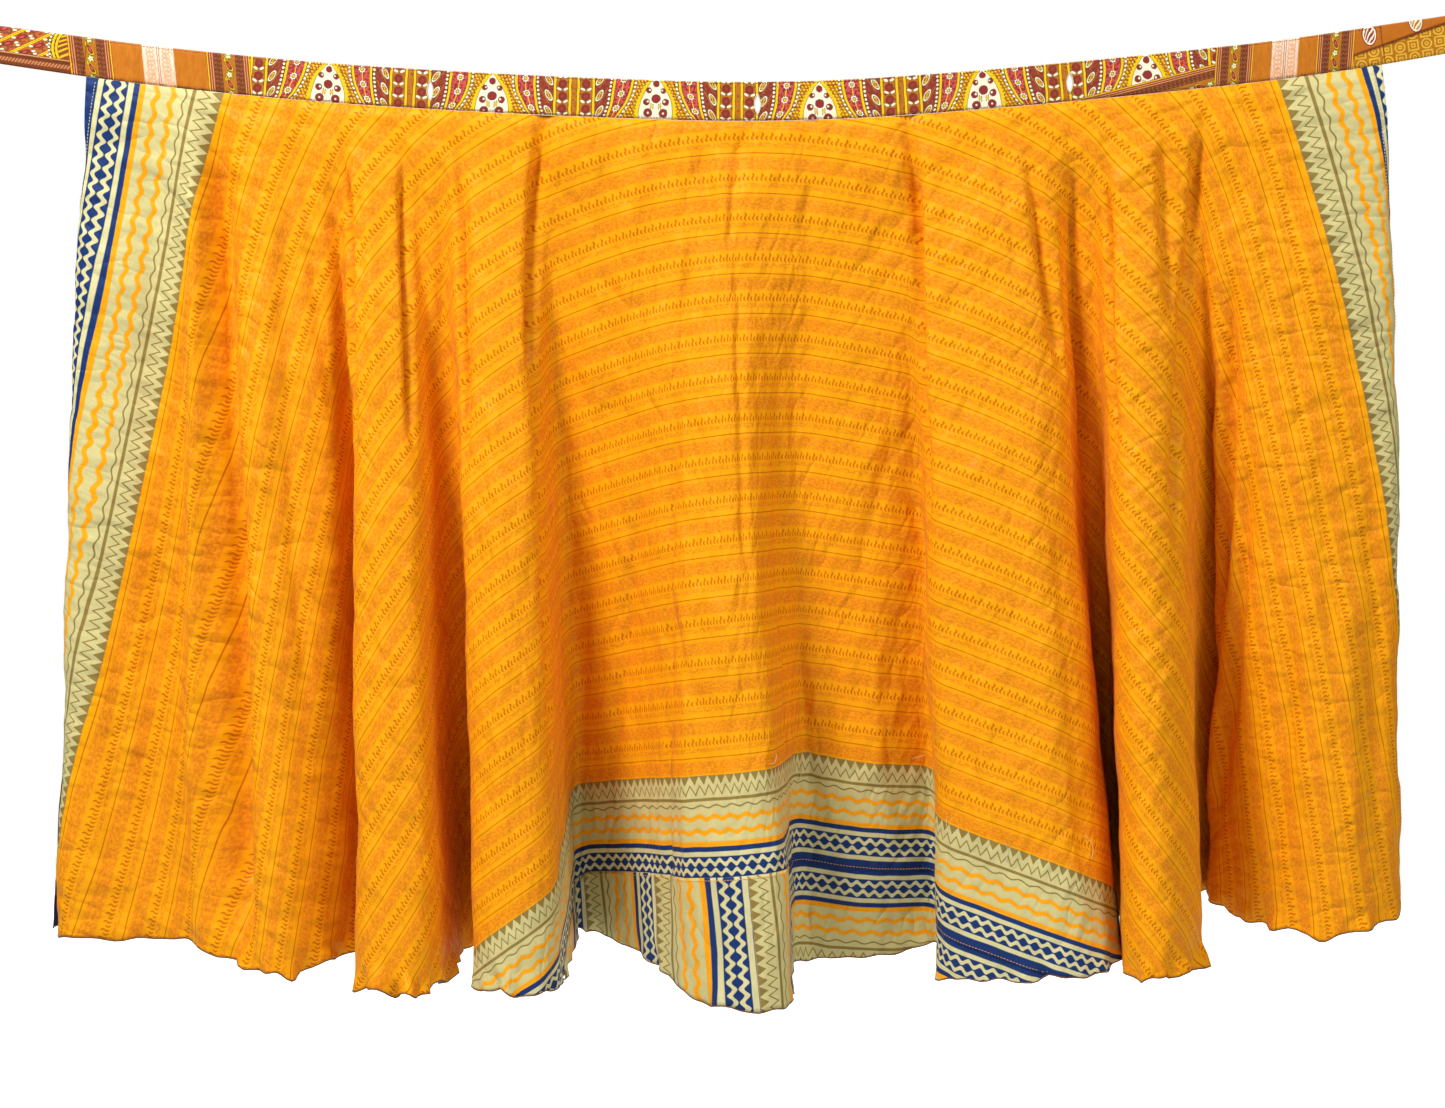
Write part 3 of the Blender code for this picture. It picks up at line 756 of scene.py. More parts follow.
# How much of the weave's height is its crossed threads
WEAVE_SHARE = 0.3
# Fine wrinkles of worn cloth: turns per metre across and down it, and their height in metres
WRINKLES_ACROSS = 34.0
WRINKLES_DOWN = 15.0
WRINKLES_SLANT = 9.0
WRINKLE_HEIGHT = 0.009
# The second set of wrinkles: how far it is moved down the noise, and its scale
SECOND_WRINKLES = (7.0, 0.6)
SLUB_ACROSS = 90.0
SLUB_ALONG = 900.0
WEAVE_HEIGHT = 0.0003
WEAVE_STRENGTH = 0.25
CLOTH_GLOSS = 0.09
SHEEN_ROUGHNESS = 0.4
# How dark the weave's darkest streaks are, and how soft their step is
DARKEST_STREAK = (0.80, 0.80, 0.80, 1.0)
STREAK_STEP = 1.2


def make_weave():
    """Plain weave from flat places in metres: two crossed thread waves make the height, and
    uneven threads, noise drawn out along each way, make light and dark streaks. Wrinkles are
    the valleys where two slanting noises cross their middle value."""
    tree, (place,), put = new_group("cloth_weave", {"Place": "Vector"},
                                    {"Shade": "Float", "Height": "Float", "Wrinkles": "Float"})
    apart = add_node(tree, "SeparateXYZ", Vector=place)
    across, down = (Reading(apart.outputs[axis]) for axis in "XY")
    turn = 2.0 / THREADS_PER_METRE
    crossing = across.wave(turn, 0.5) + down.wave(turn, 0.5, np.pi / 2.0)
    upright = mottle(joined(across * SLUB_ALONG, down * SLUB_ACROSS))
    lying = mottle(joined(across * SLUB_ACROSS, down * SLUB_ALONG))
    slubs = (upright + lying) - 1.0
    fill(put["Shade"], slubs)
    fill(put["Height"], crossing * WEAVE_SHARE + slubs)
    rightward = across * WRINKLES_ACROSS + down * WRINKLES_SLANT
    leftward = across * WRINKLES_ACROSS - down * WRINKLES_SLANT
    moved, scale = SECOND_WRINKLES
    first = mottle(joined(rightward, down * WRINKLES_DOWN))
    second = mottle(joined(leftward, down * WRINKLES_DOWN + moved), scale)
    fill(put["Wrinkles"], abs(first - 0.5) + abs(second - 0.5))
    return tree


CLOTH_WEAVE = make_weave()


def cloth_material(name, print_colour, rough=0.5, sheen=0.03, wrinkled=1.0):
    """Woven, wrinkled cloth with this print.

    print_colour gives the colour's socket from readings across and down the flat cloth, in
    millimetres. The weave's streaks darken it, and its bumps and wrinkles turn the normals.
    """
    material, tree, shader = new_material(
        name, Roughness=rough, Specular_IOR_Level=CLOTH_GLOSS, Sheen_Weight=sheen,
        Sheen_Roughness=SHEEN_ROUGHNESS)
    source = add_node(tree, "UVMap")
    source.uv_map = "cut"
    cut = Reading(source.outputs["UV"])
    weave = placed_group(CLOTH_WEAVE, Place=cut)
    relief = add_node(tree, "Bump", Strength=WEAVE_STRENGTH, Distance=WEAVE_HEIGHT,
                      Height=weave["Height"])
    broad = add_node(tree, "Bump", Strength=wrinkled, Distance=WRINKLE_HEIGHT,
                     Height=weave["Wrinkles"], Normal=relief.outputs["Normal"])
    apart = add_node(tree, "SeparateXYZ", Vector=cut)
    across, down = (Reading(apart.outputs[axis]) * MM_PER_METRE for axis in "XY")
    streaks = painted(Reading(weave["Shade"]).over(0.0, STREAK_STEP), DARKEST_STREAK, WHITE)
    colour = mixed(tree, 1.0, print_colour(across, down), streaks, "MULTIPLY")
    set_inputs(shader, Base_Color=colour, Normal=broad.outputs["Normal"])
    return material


KHAKI = linear(214, 203, 140)
BORDER_BROWN = linear(150, 127, 66)
BORDER_ORANGE = linear(255, 170, 22)
BORDER_NAVY = linear(30, 56, 112)
BORDER_CREAM = linear(222, 214, 158)
# The border's print, in millimetres: pitch and scale of the slow noise that makes it uneven,
# and by how much along and outward
BORDER_UNEVEN = (0.02, 3.0)
BORDER_UNEVEN_BY = (3.0, 0.8)
# Triangles at the field by pitch and height, and the zigzag line beyond them by distance, half
# width and softness
TRIANGLES = (10.9, 9.5)
ZIGZAG_LINE = (9.8, 1.25, 0.6)
NAVY_FROM = 71.0
# Lines before the navy ground and on it: middle, half width, softness, ink, and where a line
# is wavy the length, height and start of its wave
KHAKI_LINES = (
    (24.0, 1.6, 0.5, BORDER_BROWN, None),
    (31.0, 0.8, 0.5, BORDER_BROWN, (19.5, 1.3)),
    (42.0, 2.4, 0.8, BORDER_ORANGE, (19.5, 1.6, 1.0)),
    (56.0, 2.4, 0.8, BORDER_ORANGE, (19.5, 1.6, 2.2)),
    (68.5, 2.6, 0.5, BORDER_ORANGE, None),
)
NAVY_LINES = (
    (78.5, 2.4, 0.6, BORDER_CREAM, None),
    (86.6, 2.2, 0.7, BORDER_CREAM, (12.9, 2.1)),
    (96.4, 2.2, 0.7, BORDER_CREAM, (12.9, 2.1, np.pi)),
    (104.5, 2.4, 0.6, BORDER_CREAM, None),
)


def make_border():
    """The woven border's print, from how far along and how far out a place is, in millimetres.

    From the field outward: brown triangles, a zigzag line in step with them, a brown line, a
    thin brown wave, two orange waves, an orange line, then navy with cream lines and two
    cream waves that part and meet, so that navy diamonds show between them.
    """
    tree, (exact, outward), put = new_group(
        "sari_border", {"Along": "Float", "Outward": "Float"}, {"Color": "Color", "Mask": "Float"})
    pitch, scale = BORDER_UNEVEN
    unsteady = mottle(joined(exact * pitch, outward * pitch), scale) - 0.5
    along, out = (place + unsteady * by for place, by in zip((exact, outward), BORDER_UNEVEN_BY))
    peaks = along.zigzag(*TRIANGLES)
    colour = painted(out.under(peaks), KHAKI, BORDER_BROWN)
    colour = painted((out - peaks).near(*ZIGZAG_LINE), colour, BORDER_BROWN)

    def lined(colour, lines):
        """The colour with these lines on it, each a straight or a wavy one."""
        for middle, half, soft, ink, wave in lines:
            place = out + along.wave(*wave) if wave else out
            colour = painted(place.near(middle, half, soft), colour, ink)
        return colour

    colour = lined(colour, KHAKI_LINES)
    colour = lined(painted(out.over(NAVY_FROM, 0.6), colour, BORDER_NAVY), NAVY_LINES)
    fill(put["Color"], colour)
    fill(put["Mask"], out.over(0.0))
    return tree


SARI_BORDER = make_border()
BORDER_DEPTH = 118.0
FIELD_END = 1009.0
FIELD_REPEAT = 39.4
FIELD_START = 5.0
FIELD_BRIGHT = linear(255, 171, 10)
FIELD_AMBER = linear(254, 166, 13)
FIELD_SPECKLED = linear(236, 135, 26)
FIELD_INK = linear(204, 98, 6)
FIELD_TEETH = linear(204, 88, 6)
SPECKLE_SCALE = 0.45
# How the ground is uneven: pitches of the slow noise, by how much, and pitch of the grain
FIELD_SLOW = (0.004, 0.02)
FIELD_UNEVEN_BY = 2.0
GRAIN_ACROSS = 0.6
# Down each repeat, in millimetres: the line, the amber stripe, and the speckled stripes by
# middle, half width, softness, how much their specks add, and how strong they are without
FIELD_LINE = (0.9, 0.5)
FIELD_LINE_SHARE = 0.95
AMBER_STRIPE = (10.3, 8.3, 2.0)
AMBER_SHARE = 0.8
SPECKLED_STRIPES = ((10.8, 6.3, 1.6, 0.80, 0.20), (32.4, 2.4, 1.4, 0.80, 0.10))
# The row of teeth: from one to the next, lower end, top of a short one, how much taller the
# tall ones are, and how far a tooth's middle bends aside
TEETH_PITCH = 4.25
TEETH_LOW = 28.2
TEETH_TOP = 24.2
TEETH_TALLER = 4.0
TEETH_BEND = 0.8
TEETH_BEND_LENGTH = 7.0
# A tooth's stroke: how near its middle it is drawn, and softness; softness of its upper and
# lower ends; and how strong its ink is, with the grain and without
TOOTH_STROKE = (0.56, 0.4)
TOOTH_ENDS = (1.0, 1.4)
TOOTH_INK = (0.5, 0.6)


def field_colour(across, down):
    """The sari's orange ground, from flat places in millimetres: in each repeat a thin line, a
    speckled stripe, a row of little bent teeth, tall and short in turn, and a fainter stripe."""
    slow = mottle(joined(*(place * pitch for place, pitch in zip((across, down), FIELD_SLOW))))
    down_here = (down - FIELD_START + (slow - 0.5) * FIELD_UNEVEN_BY) % FIELD_REPEAT
    grain = mottle(joined(across * GRAIN_ACROSS, down), SPECKLE_SCALE)
    specks = grain.over(0.5, 0.14)
    amber = down_here.near(*AMBER_STRIPE) * AMBER_SHARE
    colour = painted(amber, FIELD_BRIGHT, FIELD_AMBER)
    for middle, half, soft, more, least in SPECKLED_STRIPES:
        stripe = down_here.near(middle, half, soft)
        colour = painted(stripe * (specks * more + least), colour, FIELD_SPECKLED)
    bent = across + (down_here - TEETH_TOP).wave(TEETH_BEND_LENGTH, TEETH_BEND)
    tall = (bent + TEETH_PITCH / 2.0).zigzag(2.0 * TEETH_PITCH, 1.0)
    upper, lower = TOOTH_ENDS
    more, least = TOOTH_INK
    teeth = bent.zigzag(TEETH_PITCH, 1.0).over(*TOOTH_STROKE)
    teeth = teeth * down_here.over(TEETH_TOP - tall * TEETH_TALLER, upper)
    teeth = teeth * down_here.under(TEETH_LOW, lower)
    colour = painted(teeth * (grain * more + least), colour, FIELD_TEETH)
    return painted(down_here.near(*FIELD_LINE) * FIELD_LINE_SHARE, colour, FIELD_INK)


def sari_print(across, down):
    """Orange sari cloth with its border along both edges."""
    colour = field_colour(across, down)
    for outward in (down - FIELD_END, BORDER_DEPTH - down):
        border = placed_group(SARI_BORDER, Along=across, Outward=outward)
        colour = painted(Reading(border["Mask"]), colour, border["Color"])
    return colour


outer_places = fine_places(FOLDS, LEFT_EDGE_ANGLE, RIGHT_EDGE_ANGLE, PANEL_COLUMNS)
outer_points, outer_flat, outer_normals = cloth_grid(
    FOLDS, outer_places, panel_rows(selvedge_drop), OUTER_OFFSET)
outer_cloth = add_layer("skirt_outer_cloth", outer_points, outer_flat,
                        cloth_material("sari_print", sari_print))
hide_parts("skirt_outer_panel")


# Where the sari is too narrow for the half circle, border strips are sewn on below it and cut
# to the hem. The left one is pieced from four strips that run down, and lies in front.
EXTENSION_LEFT_END = -24.0
EXTENSION_JOIN = 1.2
EXTENSION_JOIN_GAP = 0.015
EXTENSION_RIGHT_END = 24.0
EXTENSION_ROWS = 26
LEFT_OVERLAP = 0.016
RIGHT_OVERLAP = 0.004
LEFT_OFFSET = 0.0019
RIGHT_OFFSET = 0.0006
# Left ends of the upright strips, metres across the cut, and how wide each one shows
LEFT_STRIPS = ((-0.560, 0.202), (-0.358, 0.121), (-0.237, 0.156), (-0.081, 0.118))
# How wide a border strip is cut, and how much of it shows between its seams
STRIP_WIDTH = 0.112
STRIP_SHOWN = 0.1075


def extension_rows(overlap):
    """Drops of an extension's rows, evenly from a little above the sari's edge to the hem."""

    def drops_at(angle):
        first = selvedge_drop(angle[:1]) - overlap
        last = full_hem(angle[-1:])
        down = np.linspace(0.0, 1.0, EXTENSION_ROWS)[:, None]
        return first + (last - first) * down

    return drops_at


def strips_print(across, down):
    """Border strips turned to run down, side by side, each stretched to its width."""
    out = None
    for start, width in LEFT_STRIPS:
        here = (across - start * MM_PER_METRE) * (STRIP_SHOWN / width)
        inside = across.over(start * MM_PER_METRE, 0.4)
        out = here if out is None else out + (here - out) * inside
    return placed_group(SARI_BORDER, Along=down, Outward=out)["Color"]


def turned_print(across, down):
    """A border strip turned over, so that its zigzag lies at the hem."""
    outward = (STRIP_WIDTH + SARI_WIDTH) * MM_PER_METRE - down
    return placed_group(SARI_BORDER, Along=across, Outward=outward)["Color"]


def add_extension(name, first, last, overlap, offset, material):
    """A strip of the same folded surface as the panel, with columns on the same folds."""
    hem = columns(FOLDS, FOLD_COLUMNS, "angle_hem")[0]
    numbers = np.arange(len(FOLDS))
    low, high = np.interp((first, last), hem, numbers)
    inside = outer_places[(outer_places > low) & (outer_places < high)]
    places = np.concatenate([[low], inside, [high]])
    points, flat, normals = cloth_grid(FOLDS, places, extension_rows(overlap), offset)
    piece = add_layer(name + "_cloth", points, flat, material)
    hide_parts(name)
    return points, normals


left_points, left_normals = add_extension(
    "hem_extension_left", EXTENSION_LEFT_END, EXTENSION_JOIN, LEFT_OVERLAP, LEFT_OFFSET,
    cloth_material("border_strips", strips_print))
right_points, right_normals = add_extension(
    "hem_extension_right", EXTENSION_JOIN + EXTENSION_JOIN_GAP, EXTENSION_RIGHT_END,
    RIGHT_OVERLAP, RIGHT_OFFSET, cloth_material("border_turned", turned_print))


# The under layer is a second half circle, of another sari, sewn to the band behind the first.
# It follows the outer layer's folds, but its left end lies free and shows past the edge.
UNDER_LEFT_FOLDS = (
    ("under left edge", -90.0, -90.0, -0.710, 0.112, 0.000, 1.0),
    ("under left turn", -87.6, -87.8, -0.736, 0.075, 0.000, 1.0),
    ("under left back", -80.0, -80.2, -0.585, 0.124, 0.000, 1.4),
    ("under left join", -74.5, -75.4, -0.540, 0.024, 0.000, 1.4),
)

UNDER_JOINS_AFTER = "left trough"
UNDER_HEM_RISE = 0.010
UNDER_LOW_COLUMNS = ("angle", "extra", "spread")
UNDER_LOW_PLACES = (
    (-87.5, 0.022, 4.0),
    (-62.5, 0.026, 3.0),
    (34.0, 0.028, 3.5),
)


def under_hem(angle):
    """Drop of the under layer's hem, with a smooth swell at each low place."""
    places, extra, spread = columns(UNDER_LOW_PLACES, UNDER_LOW_COLUMNS, *UNDER_LOW_COLUMNS)
    reach = (np.asarray(angle, float)[..., None] - places) / spread
    return full_hem(angle) - UNDER_HEM_RISE + (extra * np.exp(-(reach**2))).sum(axis=-1)


UNDER_OFFSET = -0.0036
UNDER_COLUMNS = 60
UNDER_FIELD = linear(226, 214, 178)
UNDER_MOTIF = linear(150, 60, 50)
UNDER_NAVY = linear(28, 32, 58)
UNDER_RED = linear(150, 30, 40)
UNDER_BORDER = 150.0
# Its print, in millimetres: sprigs by pitch, how flat their squared size is, that size and its
# softness; ringed spots by pitch, radius and half width of the ring, and softness
UNDER_SPRIGS = (24.0, 0.45, 9.0, 5.0)
UNDER_SPOTS = (30.0, 6.0, 2.4, 1.0)


def length_of(x, y):
    """How far the place x, y is from the place 0, 0."""
    return (x * x + y * y).made("SQRT")


def under_print(across, down):
    """Pale cloth with rows of small sprigs, and a dark border with red spots."""
    pitch, flatness, size, soft = UNDER_SPRIGS
    shift = (down / pitch).made("FLOOR") * (pitch / 2.0)
    sprig_x = (across + shift) % pitch - pitch / 2.0
    sprig_y = down % pitch - pitch / 2.0
    square = sprig_x * sprig_x + sprig_y * sprig_y * flatness
    colour = painted(square.under(size, soft), UNDER_FIELD, UNDER_MOTIF)
    pitch, radius, half, soft = UNDER_SPOTS
    ring = length_of(across % pitch - pitch / 2.0, down % pitch - pitch / 2.0)
    dark = painted(ring.near(radius, half, soft), UNDER_NAVY, UNDER_RED)
    return painted(down.under(UNDER_BORDER, 0.6), colour, dark)


under_names = [fold[0] for fold in FOLDS]
under_folds = UNDER_LEFT_FOLDS + FOLDS[under_names.index(UNDER_JOINS_AFTER) + 1:]
under_hems = columns(under_folds, FOLD_COLUMNS, "angle_hem")[0]
under_own = fine_places(under_folds, LEFT_EDGE_ANGLE, under_hems[len(UNDER_LEFT_FOLDS)],
                        UNDER_COLUMNS)
under_places = np.concatenate([under_own, outer_places[outer_places > under_own[-1]]])
under_points, under_flat, under_normals = cloth_grid(
    under_folds, under_places, panel_rows(under_hem), UNDER_OFFSET)
under_cloth = add_layer("skirt_under_cloth", under_points, under_flat,
                        cloth_material("under_print", under_print))
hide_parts("skirt_under_layer")


# The waistband is a strip of paisley cloth, folded over the top of both layers and stitched
# down. It is pieced from a printed sari end: plain stretches, woven gold stripes and vine
# borders at both sides, paisleys between. Three slits for the ties are cut through it.
BAND_WALL = 0.003
BAND_STATIONS = 900
BAND_FACE_POINTS = 11
SLOPE_STEP = 0.001
SLIT_WIDTH = 0.0062
SLIT_HEIGHT = 0.021
SLIT_POINTS = 15
# Slits: name, place along the band, height of their middle over the band's
SLITS = (
    ("left", -0.315, -0.0015),
    ("middle", 0.007, -0.0030),
    ("right", 0.314, -0.0010),
)
BAND_HALF = 19.0
# Puckers along the seam: length of a wave and its height
PUCKERS = ((0.0131, 0.00022), (0.0207, 0.00028), (0.0373, 0.00030))
# Their share of that height at the upper edge, and how much more at the middle line
PUCKER_SHARE = (0.35, 0.325)
BAND_PLAIN = linear(206, 126, 34)
BAND_PLAIN_DARK = linear(186, 104, 26)
BAND_BROWN = linear(104, 52, 28)
BAND_PINK_BROWN = linear(158, 92, 54)
BAND_PEACH = linear(226, 156, 104)
BAND_ZARI = linear(255, 234, 210)
BAND_YELLOW = linear(246, 200, 26)
BAND_CREAM = linear(246, 238, 208)
BAND_MAROON = linear(146, 50, 50)
BAND_RED = linear(206, 86, 80)
BAND_GROUND = linear(186, 114, 36)
BAND_RUST = linear(146, 72, 40)
BAND_OUTLINE = linear(84, 56, 24)
BAND_LEAF = linear(182, 176, 62)


def centred(reading, pitch, start=0.0):
    """How far the reading is from the nearest of the places start, start + pitch, and so on."""
    return (reading + (pitch / 2.0 - start)) % pitch - pitch / 2.0


def outlined(colour, distance, half, ink, rim=0.5):
    """Ink where the distance is under half, with a dark rim round it, on the colour."""
    colour = painted(distance.under(half + rim), colour, BAND_OUTLINE)
    return painted(distance.under(half), colour, ink)


def beads(colour, off_line, up, pitch=4.0, radius=1.25):
    """A row of round cream beads: off_line is the distance to one side of the row."""
    return outlined(colour, length_of(off_line, centred(up, pitch)), radius, BAND_CREAM)


# The vine border, in millimetres: the vine's ground and its rope's outer side from the middle,
# and the thin lines beyond, each by place, half width and ink
VINE_GROUND = 6.6
ROPE_END = 14.0
VINE_LINES = ((15.6, 0.4, BAND_PEACH), (17.9, 0.4, BAND_PEACH), (20.4, 0.5, BAND_YELLOW))
VINE_EDGE = 21.5
VINE_REPEAT = 18.0
VINE_SWING = 4.0
VINE_LEAN = 0.35
ROPE_TURN = 4.4
# The rope's strands: how they slant, how their place is stretched across and up, radius of
# their rings, half width and softness
ROPE_SLANT = 0.8
ROPE_STRETCH = (0.72, 1.25)
ROPE_STRAND = (2.0, 0.42, 0.5)
VINE_HALF = 0.6
# The drop: how its width changes with height, its width and height, its rings and its heart
DROP_SHAPE = (0.05, 1.2, 0.62)
DROP_RINGS = ((3.4, BAND_YELLOW), (2.3, BAND_MAROON))
DROP_HEART = 1.2
# The flower: number and depth of its petals, its radius, its middle's, and its eye's
PETALS = 5.0
PETAL_DEPTH = 0.8
FLOWER_RINGS = (3.0, 2.0, 0.9)


def make_vine():
    """A vine border's print, from how far beside its middle and how far up a place is.

    From the middle out: a yellow vine that swings round a leaning red drop and then crosses
    under a pale green flower, a twisted rope on brown, and three thin lines.
    """
    tree, (beside, up), put = new_group(
        "vine_border", {"Beside": "Float", "Up": "Float"}, {"Color": "Color"})
    aside = abs(beside)
    across, tall = ROPE_STRETCH
    turn = centred(up + beside * ROPE_SLANT, ROPE_TURN)
    rope = length_of((aside - (VINE_GROUND + ROPE_END) / 2.0) * across, turn * tall)
    colour = painted(rope.near(*ROPE_STRAND), BAND_BROWN, BAND_PINK_BROWN)
    colour = painted(aside.over(ROPE_END, 0.4), colour, BAND_RUST)
    for place, half, ink in VINE_LINES:
        colour = painted(aside.near(place, half, 0.4), colour, ink)
    colour = painted(aside.under(VINE_GROUND), colour, BAND_GROUND)
    bend = centred(up, VINE_REPEAT, VINE_REPEAT / 2.0)
    more, wide, tall = DROP_SHAPE
    drop = length_of((beside + bend * VINE_LEAN) * (bend * more + wide), bend * tall)
    vine = abs(beside - up.wave(VINE_REPEAT, VINE_SWING))
    colour = outlined(colour, vine, VINE_HALF, BAND_YELLOW)
    for radius, ink in DROP_RINGS:
        colour = outlined(colour, drop, radius, ink)
    colour = painted(drop.under(DROP_HEART), colour, BAND_RED)
    crossing = centred(up, VINE_REPEAT)
    flower = length_of(beside, crossing)
    petals = beside.made("ARCTAN2", crossing).wave(2.0 * np.pi / PETALS, PETAL_DEPTH)
    outer, middle, eye = FLOWER_RINGS
    colour = outlined(colour, flower + petals, outer, BAND_LEAF)
    colour = painted((flower + petals * 0.5).under(middle), colour, BAND_CREAM)
    colour = painted(flower.under(eye), colour, BAND_LEAF)
    fill(put["Color"], colour)
    return tree


VINE_BORDER = make_vine()


def vined(colour, mask, beside, up):
    """The vine border on the colour where the mask is 1."""
    vine = placed_group(VINE_BORDER, Beside=beside, Up=up)
    return painted(mask, colour, vine["Color"])


# The paisleys, in millimetres from a teardrop's middle line: their repeat along the band and
# its start, and where the lines stand. The two curved lines start at one place at the top of
# the band and lie a reach further out at its foot.
PAISLEY_REPEAT = 161.0
PAISLEY_START = -93.0
INNER_LINE = (23.0, 15.0)
STRIPE_STEM = (32.0, 10.5)
OUTER_LINE = (41.0, 6.0)
LEAF_COLUMN = 55.5
BUD_LINE = 61.5
BUD_COLUMN = 69.0
MIDDLE_LINE = 76.5
PAISLEY_LINE = 1.15
TEAR_HALF = 19.5
TEAR_TALL = 42.0
TEAR_POWER = 2.2
# Flowers and curls in a teardrop: how far beside its middle, how far up, and radius
TEAR_FLOWERS = ((0.0, 32.0, 3.2), (7.3, 25.5, 2.7), (0.0, 17.5, 4.4), (9.3, 14.0, 3.3),
                (7.6, 3.5, 4.2))
TEAR_CURLS = ((6.2, 25.9, 0.9), (8.0, 14.6, 1.1), (7.6, 3.5, 1.0))
TEAR_STEMS = ((2.6, 9.5), (4.6, 10.2))
# The teardrop's scalloped rim and the cream line inside it
TEAR_SCALLOPS = (3.4, 1.9)
TEAR_RIM = 0.4
TEAR_LINE_INSIDE = 3.0
# The whole print sways along the band and is uneven by a slow noise
PAISLEY_SWAY = (410.0, 2.5)
PAISLEY_UNEVEN = (0.03, 0.06)
PAISLEY_UNEVEN_BY = 2.0
SMALL_GRAIN = 0.35
# Yellow dots of the ground: how they slant, pitches and radius
GROUND_DOTS = (0.5, 3.6, 3.1, 1.5)
# Flowers of the red stripe: pitch, start, radius, radius of the eye, depth of the petals
STRIPE_FLOWERS = (14.0, 7.0, 3.1, 1.2, 0.45)
# Leaves beside it: pitch, start, slant and flatness, and the radii of their rings
LEAVES = (15.0, 4.0, 0.5, 0.55)
LEAF_RINGS = ((3.0, BAND_CREAM), (1.7, BAND_YELLOW))
# Buds: pitch, how far a pair stands beside their middle, radius of one of a pair and of a bud
BUDS = (12.0, 3.2, 2.3, 4.3)
BEADS_BESIDE = 3.3


def paisley(along, up):
    """The paisleys' print: each half tile mirrors the next about a teardrop.

    From a teardrop's middle outward: the teardrop with maroon flowers and curls in it, a
    curved yellow line with beads, a red stripe with ringed flowers, the same line again,
    leaves, a column of maroon buds between two yellow lines.
    """
    slow_along, slow_up = PAISLEY_UNEVEN
    uneven = (mottle(joined(along * slow_along, up * slow_up)) - 0.5) * PAISLEY_UNEVEN_BY
    v = up + along.wave(*PAISLEY_SWAY) + uneven
    d = abs(centred(along, PAISLEY_REPEAT, PAISLEY_START)) + uneven
    from_top = 1.0 - v / (2.0 * BAND_HALF)
    from_top = from_top * from_top
    small = mottle(joined(along * SMALL_GRAIN, up * SMALL_GRAIN), 1.0, 1.0)
    slant, pitch, pitch_up, radius = GROUND_DOTS
    dots = length_of(centred(along + v * slant, pitch), centred(v, pitch_up))
    colour = painted(small.over(0.55, 0.12), BAND_GROUND, BAND_RUST)
    colour = painted((dots + small).under(radius), colour, BAND_YELLOW)
    first, stem, second = (d - (from_top * reach + top)
                           for top, reach in (INNER_LINE, STRIPE_STEM, OUTER_LINE))
    pitch, start, radius, eye, depth = STRIPE_FLOWERS
    stripe = painted(small.over(0.52, 0.1), BAND_RED, BAND_MAROON)
    stripe = painted(stem.near(0.0, 0.4, 0.4), stripe, BAND_YELLOW)
    knot = centred(v, pitch, start)
    ring = length_of(stem, knot)
    petals = stem.made("ARCTAN2", knot).wave(np.pi / 4.0, depth)
    stripe = outlined(stripe, ring + petals, radius, BAND_CREAM)
    stripe = outlined(stripe, ring, eye, BAND_YELLOW, 0.7)
    colour = painted(first.over(0.0, 0.3), colour, stripe)
    pitch, start, slant, flatness = LEAVES
    leaves = painted(small.over(0.5, 0.12), BAND_RUST, BAND_MAROON)
    step = centred(v, pitch, start)
    vein = abs(d - LEAF_COLUMN + step * 0.6 + 4.0)
    leaves = painted(vein.near(0.0, 0.4, 0.4), leaves, BAND_GROUND)
    leaf = length_of(d - LEAF_COLUMN + step * slant, step * flatness)
    for radius, ink in LEAF_RINGS:
        leaves = outlined(leaves, leaf, radius, ink)
    leaves = painted(length_of(leaf - 1.0, step * 0.3).under(0.5, 0.4), leaves, BAND_MAROON)
    colour = painted(second.over(0.0, 0.3), colour, leaves)
    pitch, aside, radius, bud_radius = BUDS
    buds = painted(small.over(0.6, 0.1), BAND_GROUND, BAND_RUST)
    beside = abs(d - BUD_COLUMN)
    pair = length_of(beside - aside, (centred(v, pitch) - beside * 0.35) * 1.7)
    buds = outlined(buds, pair, radius, BAND_CREAM)
    bud = length_of(beside, centred(v, pitch, pitch / 2.0))
    buds = outlined(buds, bud + small * 1.2, bud_radius, BAND_MAROON)
    buds = painted((bud + small).under(2.0, 0.7), buds, BAND_RUST)
    colour = painted(d.over(BUD_LINE, 0.3), colour, buds)
    for line in (first, second, d - BUD_LINE, d - MIDDLE_LINE):
        colour = outlined(colour, abs(line), PAISLEY_LINE, BAND_YELLOW)
    for off_line in (first + BEADS_BESIDE, second - BEADS_BESIDE):
        colour = beads(colour, off_line, v)
    share = (v / TEAR_TALL).either(0.0).made("POWER", TEAR_POWER)
    edge = d - (1.0 - share) * TEAR_HALF
    colour = outlined(colour, edge - v.zigzag(*TEAR_SCALLOPS), TEAR_RIM, BAND_YELLOW)
    colour = outlined(colour, edge + TEAR_LINE_INSIDE, 0.0, BAND_CREAM)
    for middle, height in TEAR_STEMS:
        stalk = length_of((d - middle) * 2.2, (v - height) * 0.6)
        colour = outlined(colour, stalk, 1.3, BAND_YELLOW)
    for middle, height, radius in TEAR_FLOWERS:
        bloom = length_of(d - middle, v - height) + small * 0.8
        colour = outlined(colour, bloom, radius, BAND_MAROON)
    for middle, height, radius in TEAR_CURLS:
        colour = outlined(colour, length_of(d - middle, v - height), radius, BAND_CREAM, 0.3)
    return colour


def plain_band(along, up):
    """Plain orange-brown cloth of the sari's end, a little darker here and there."""
    cloud = mottle(joined(along * 0.3, up * 0.08))
    return painted(cloud.over(0.5, 0.6), BAND_PLAIN, BAND_PLAIN_DARK)


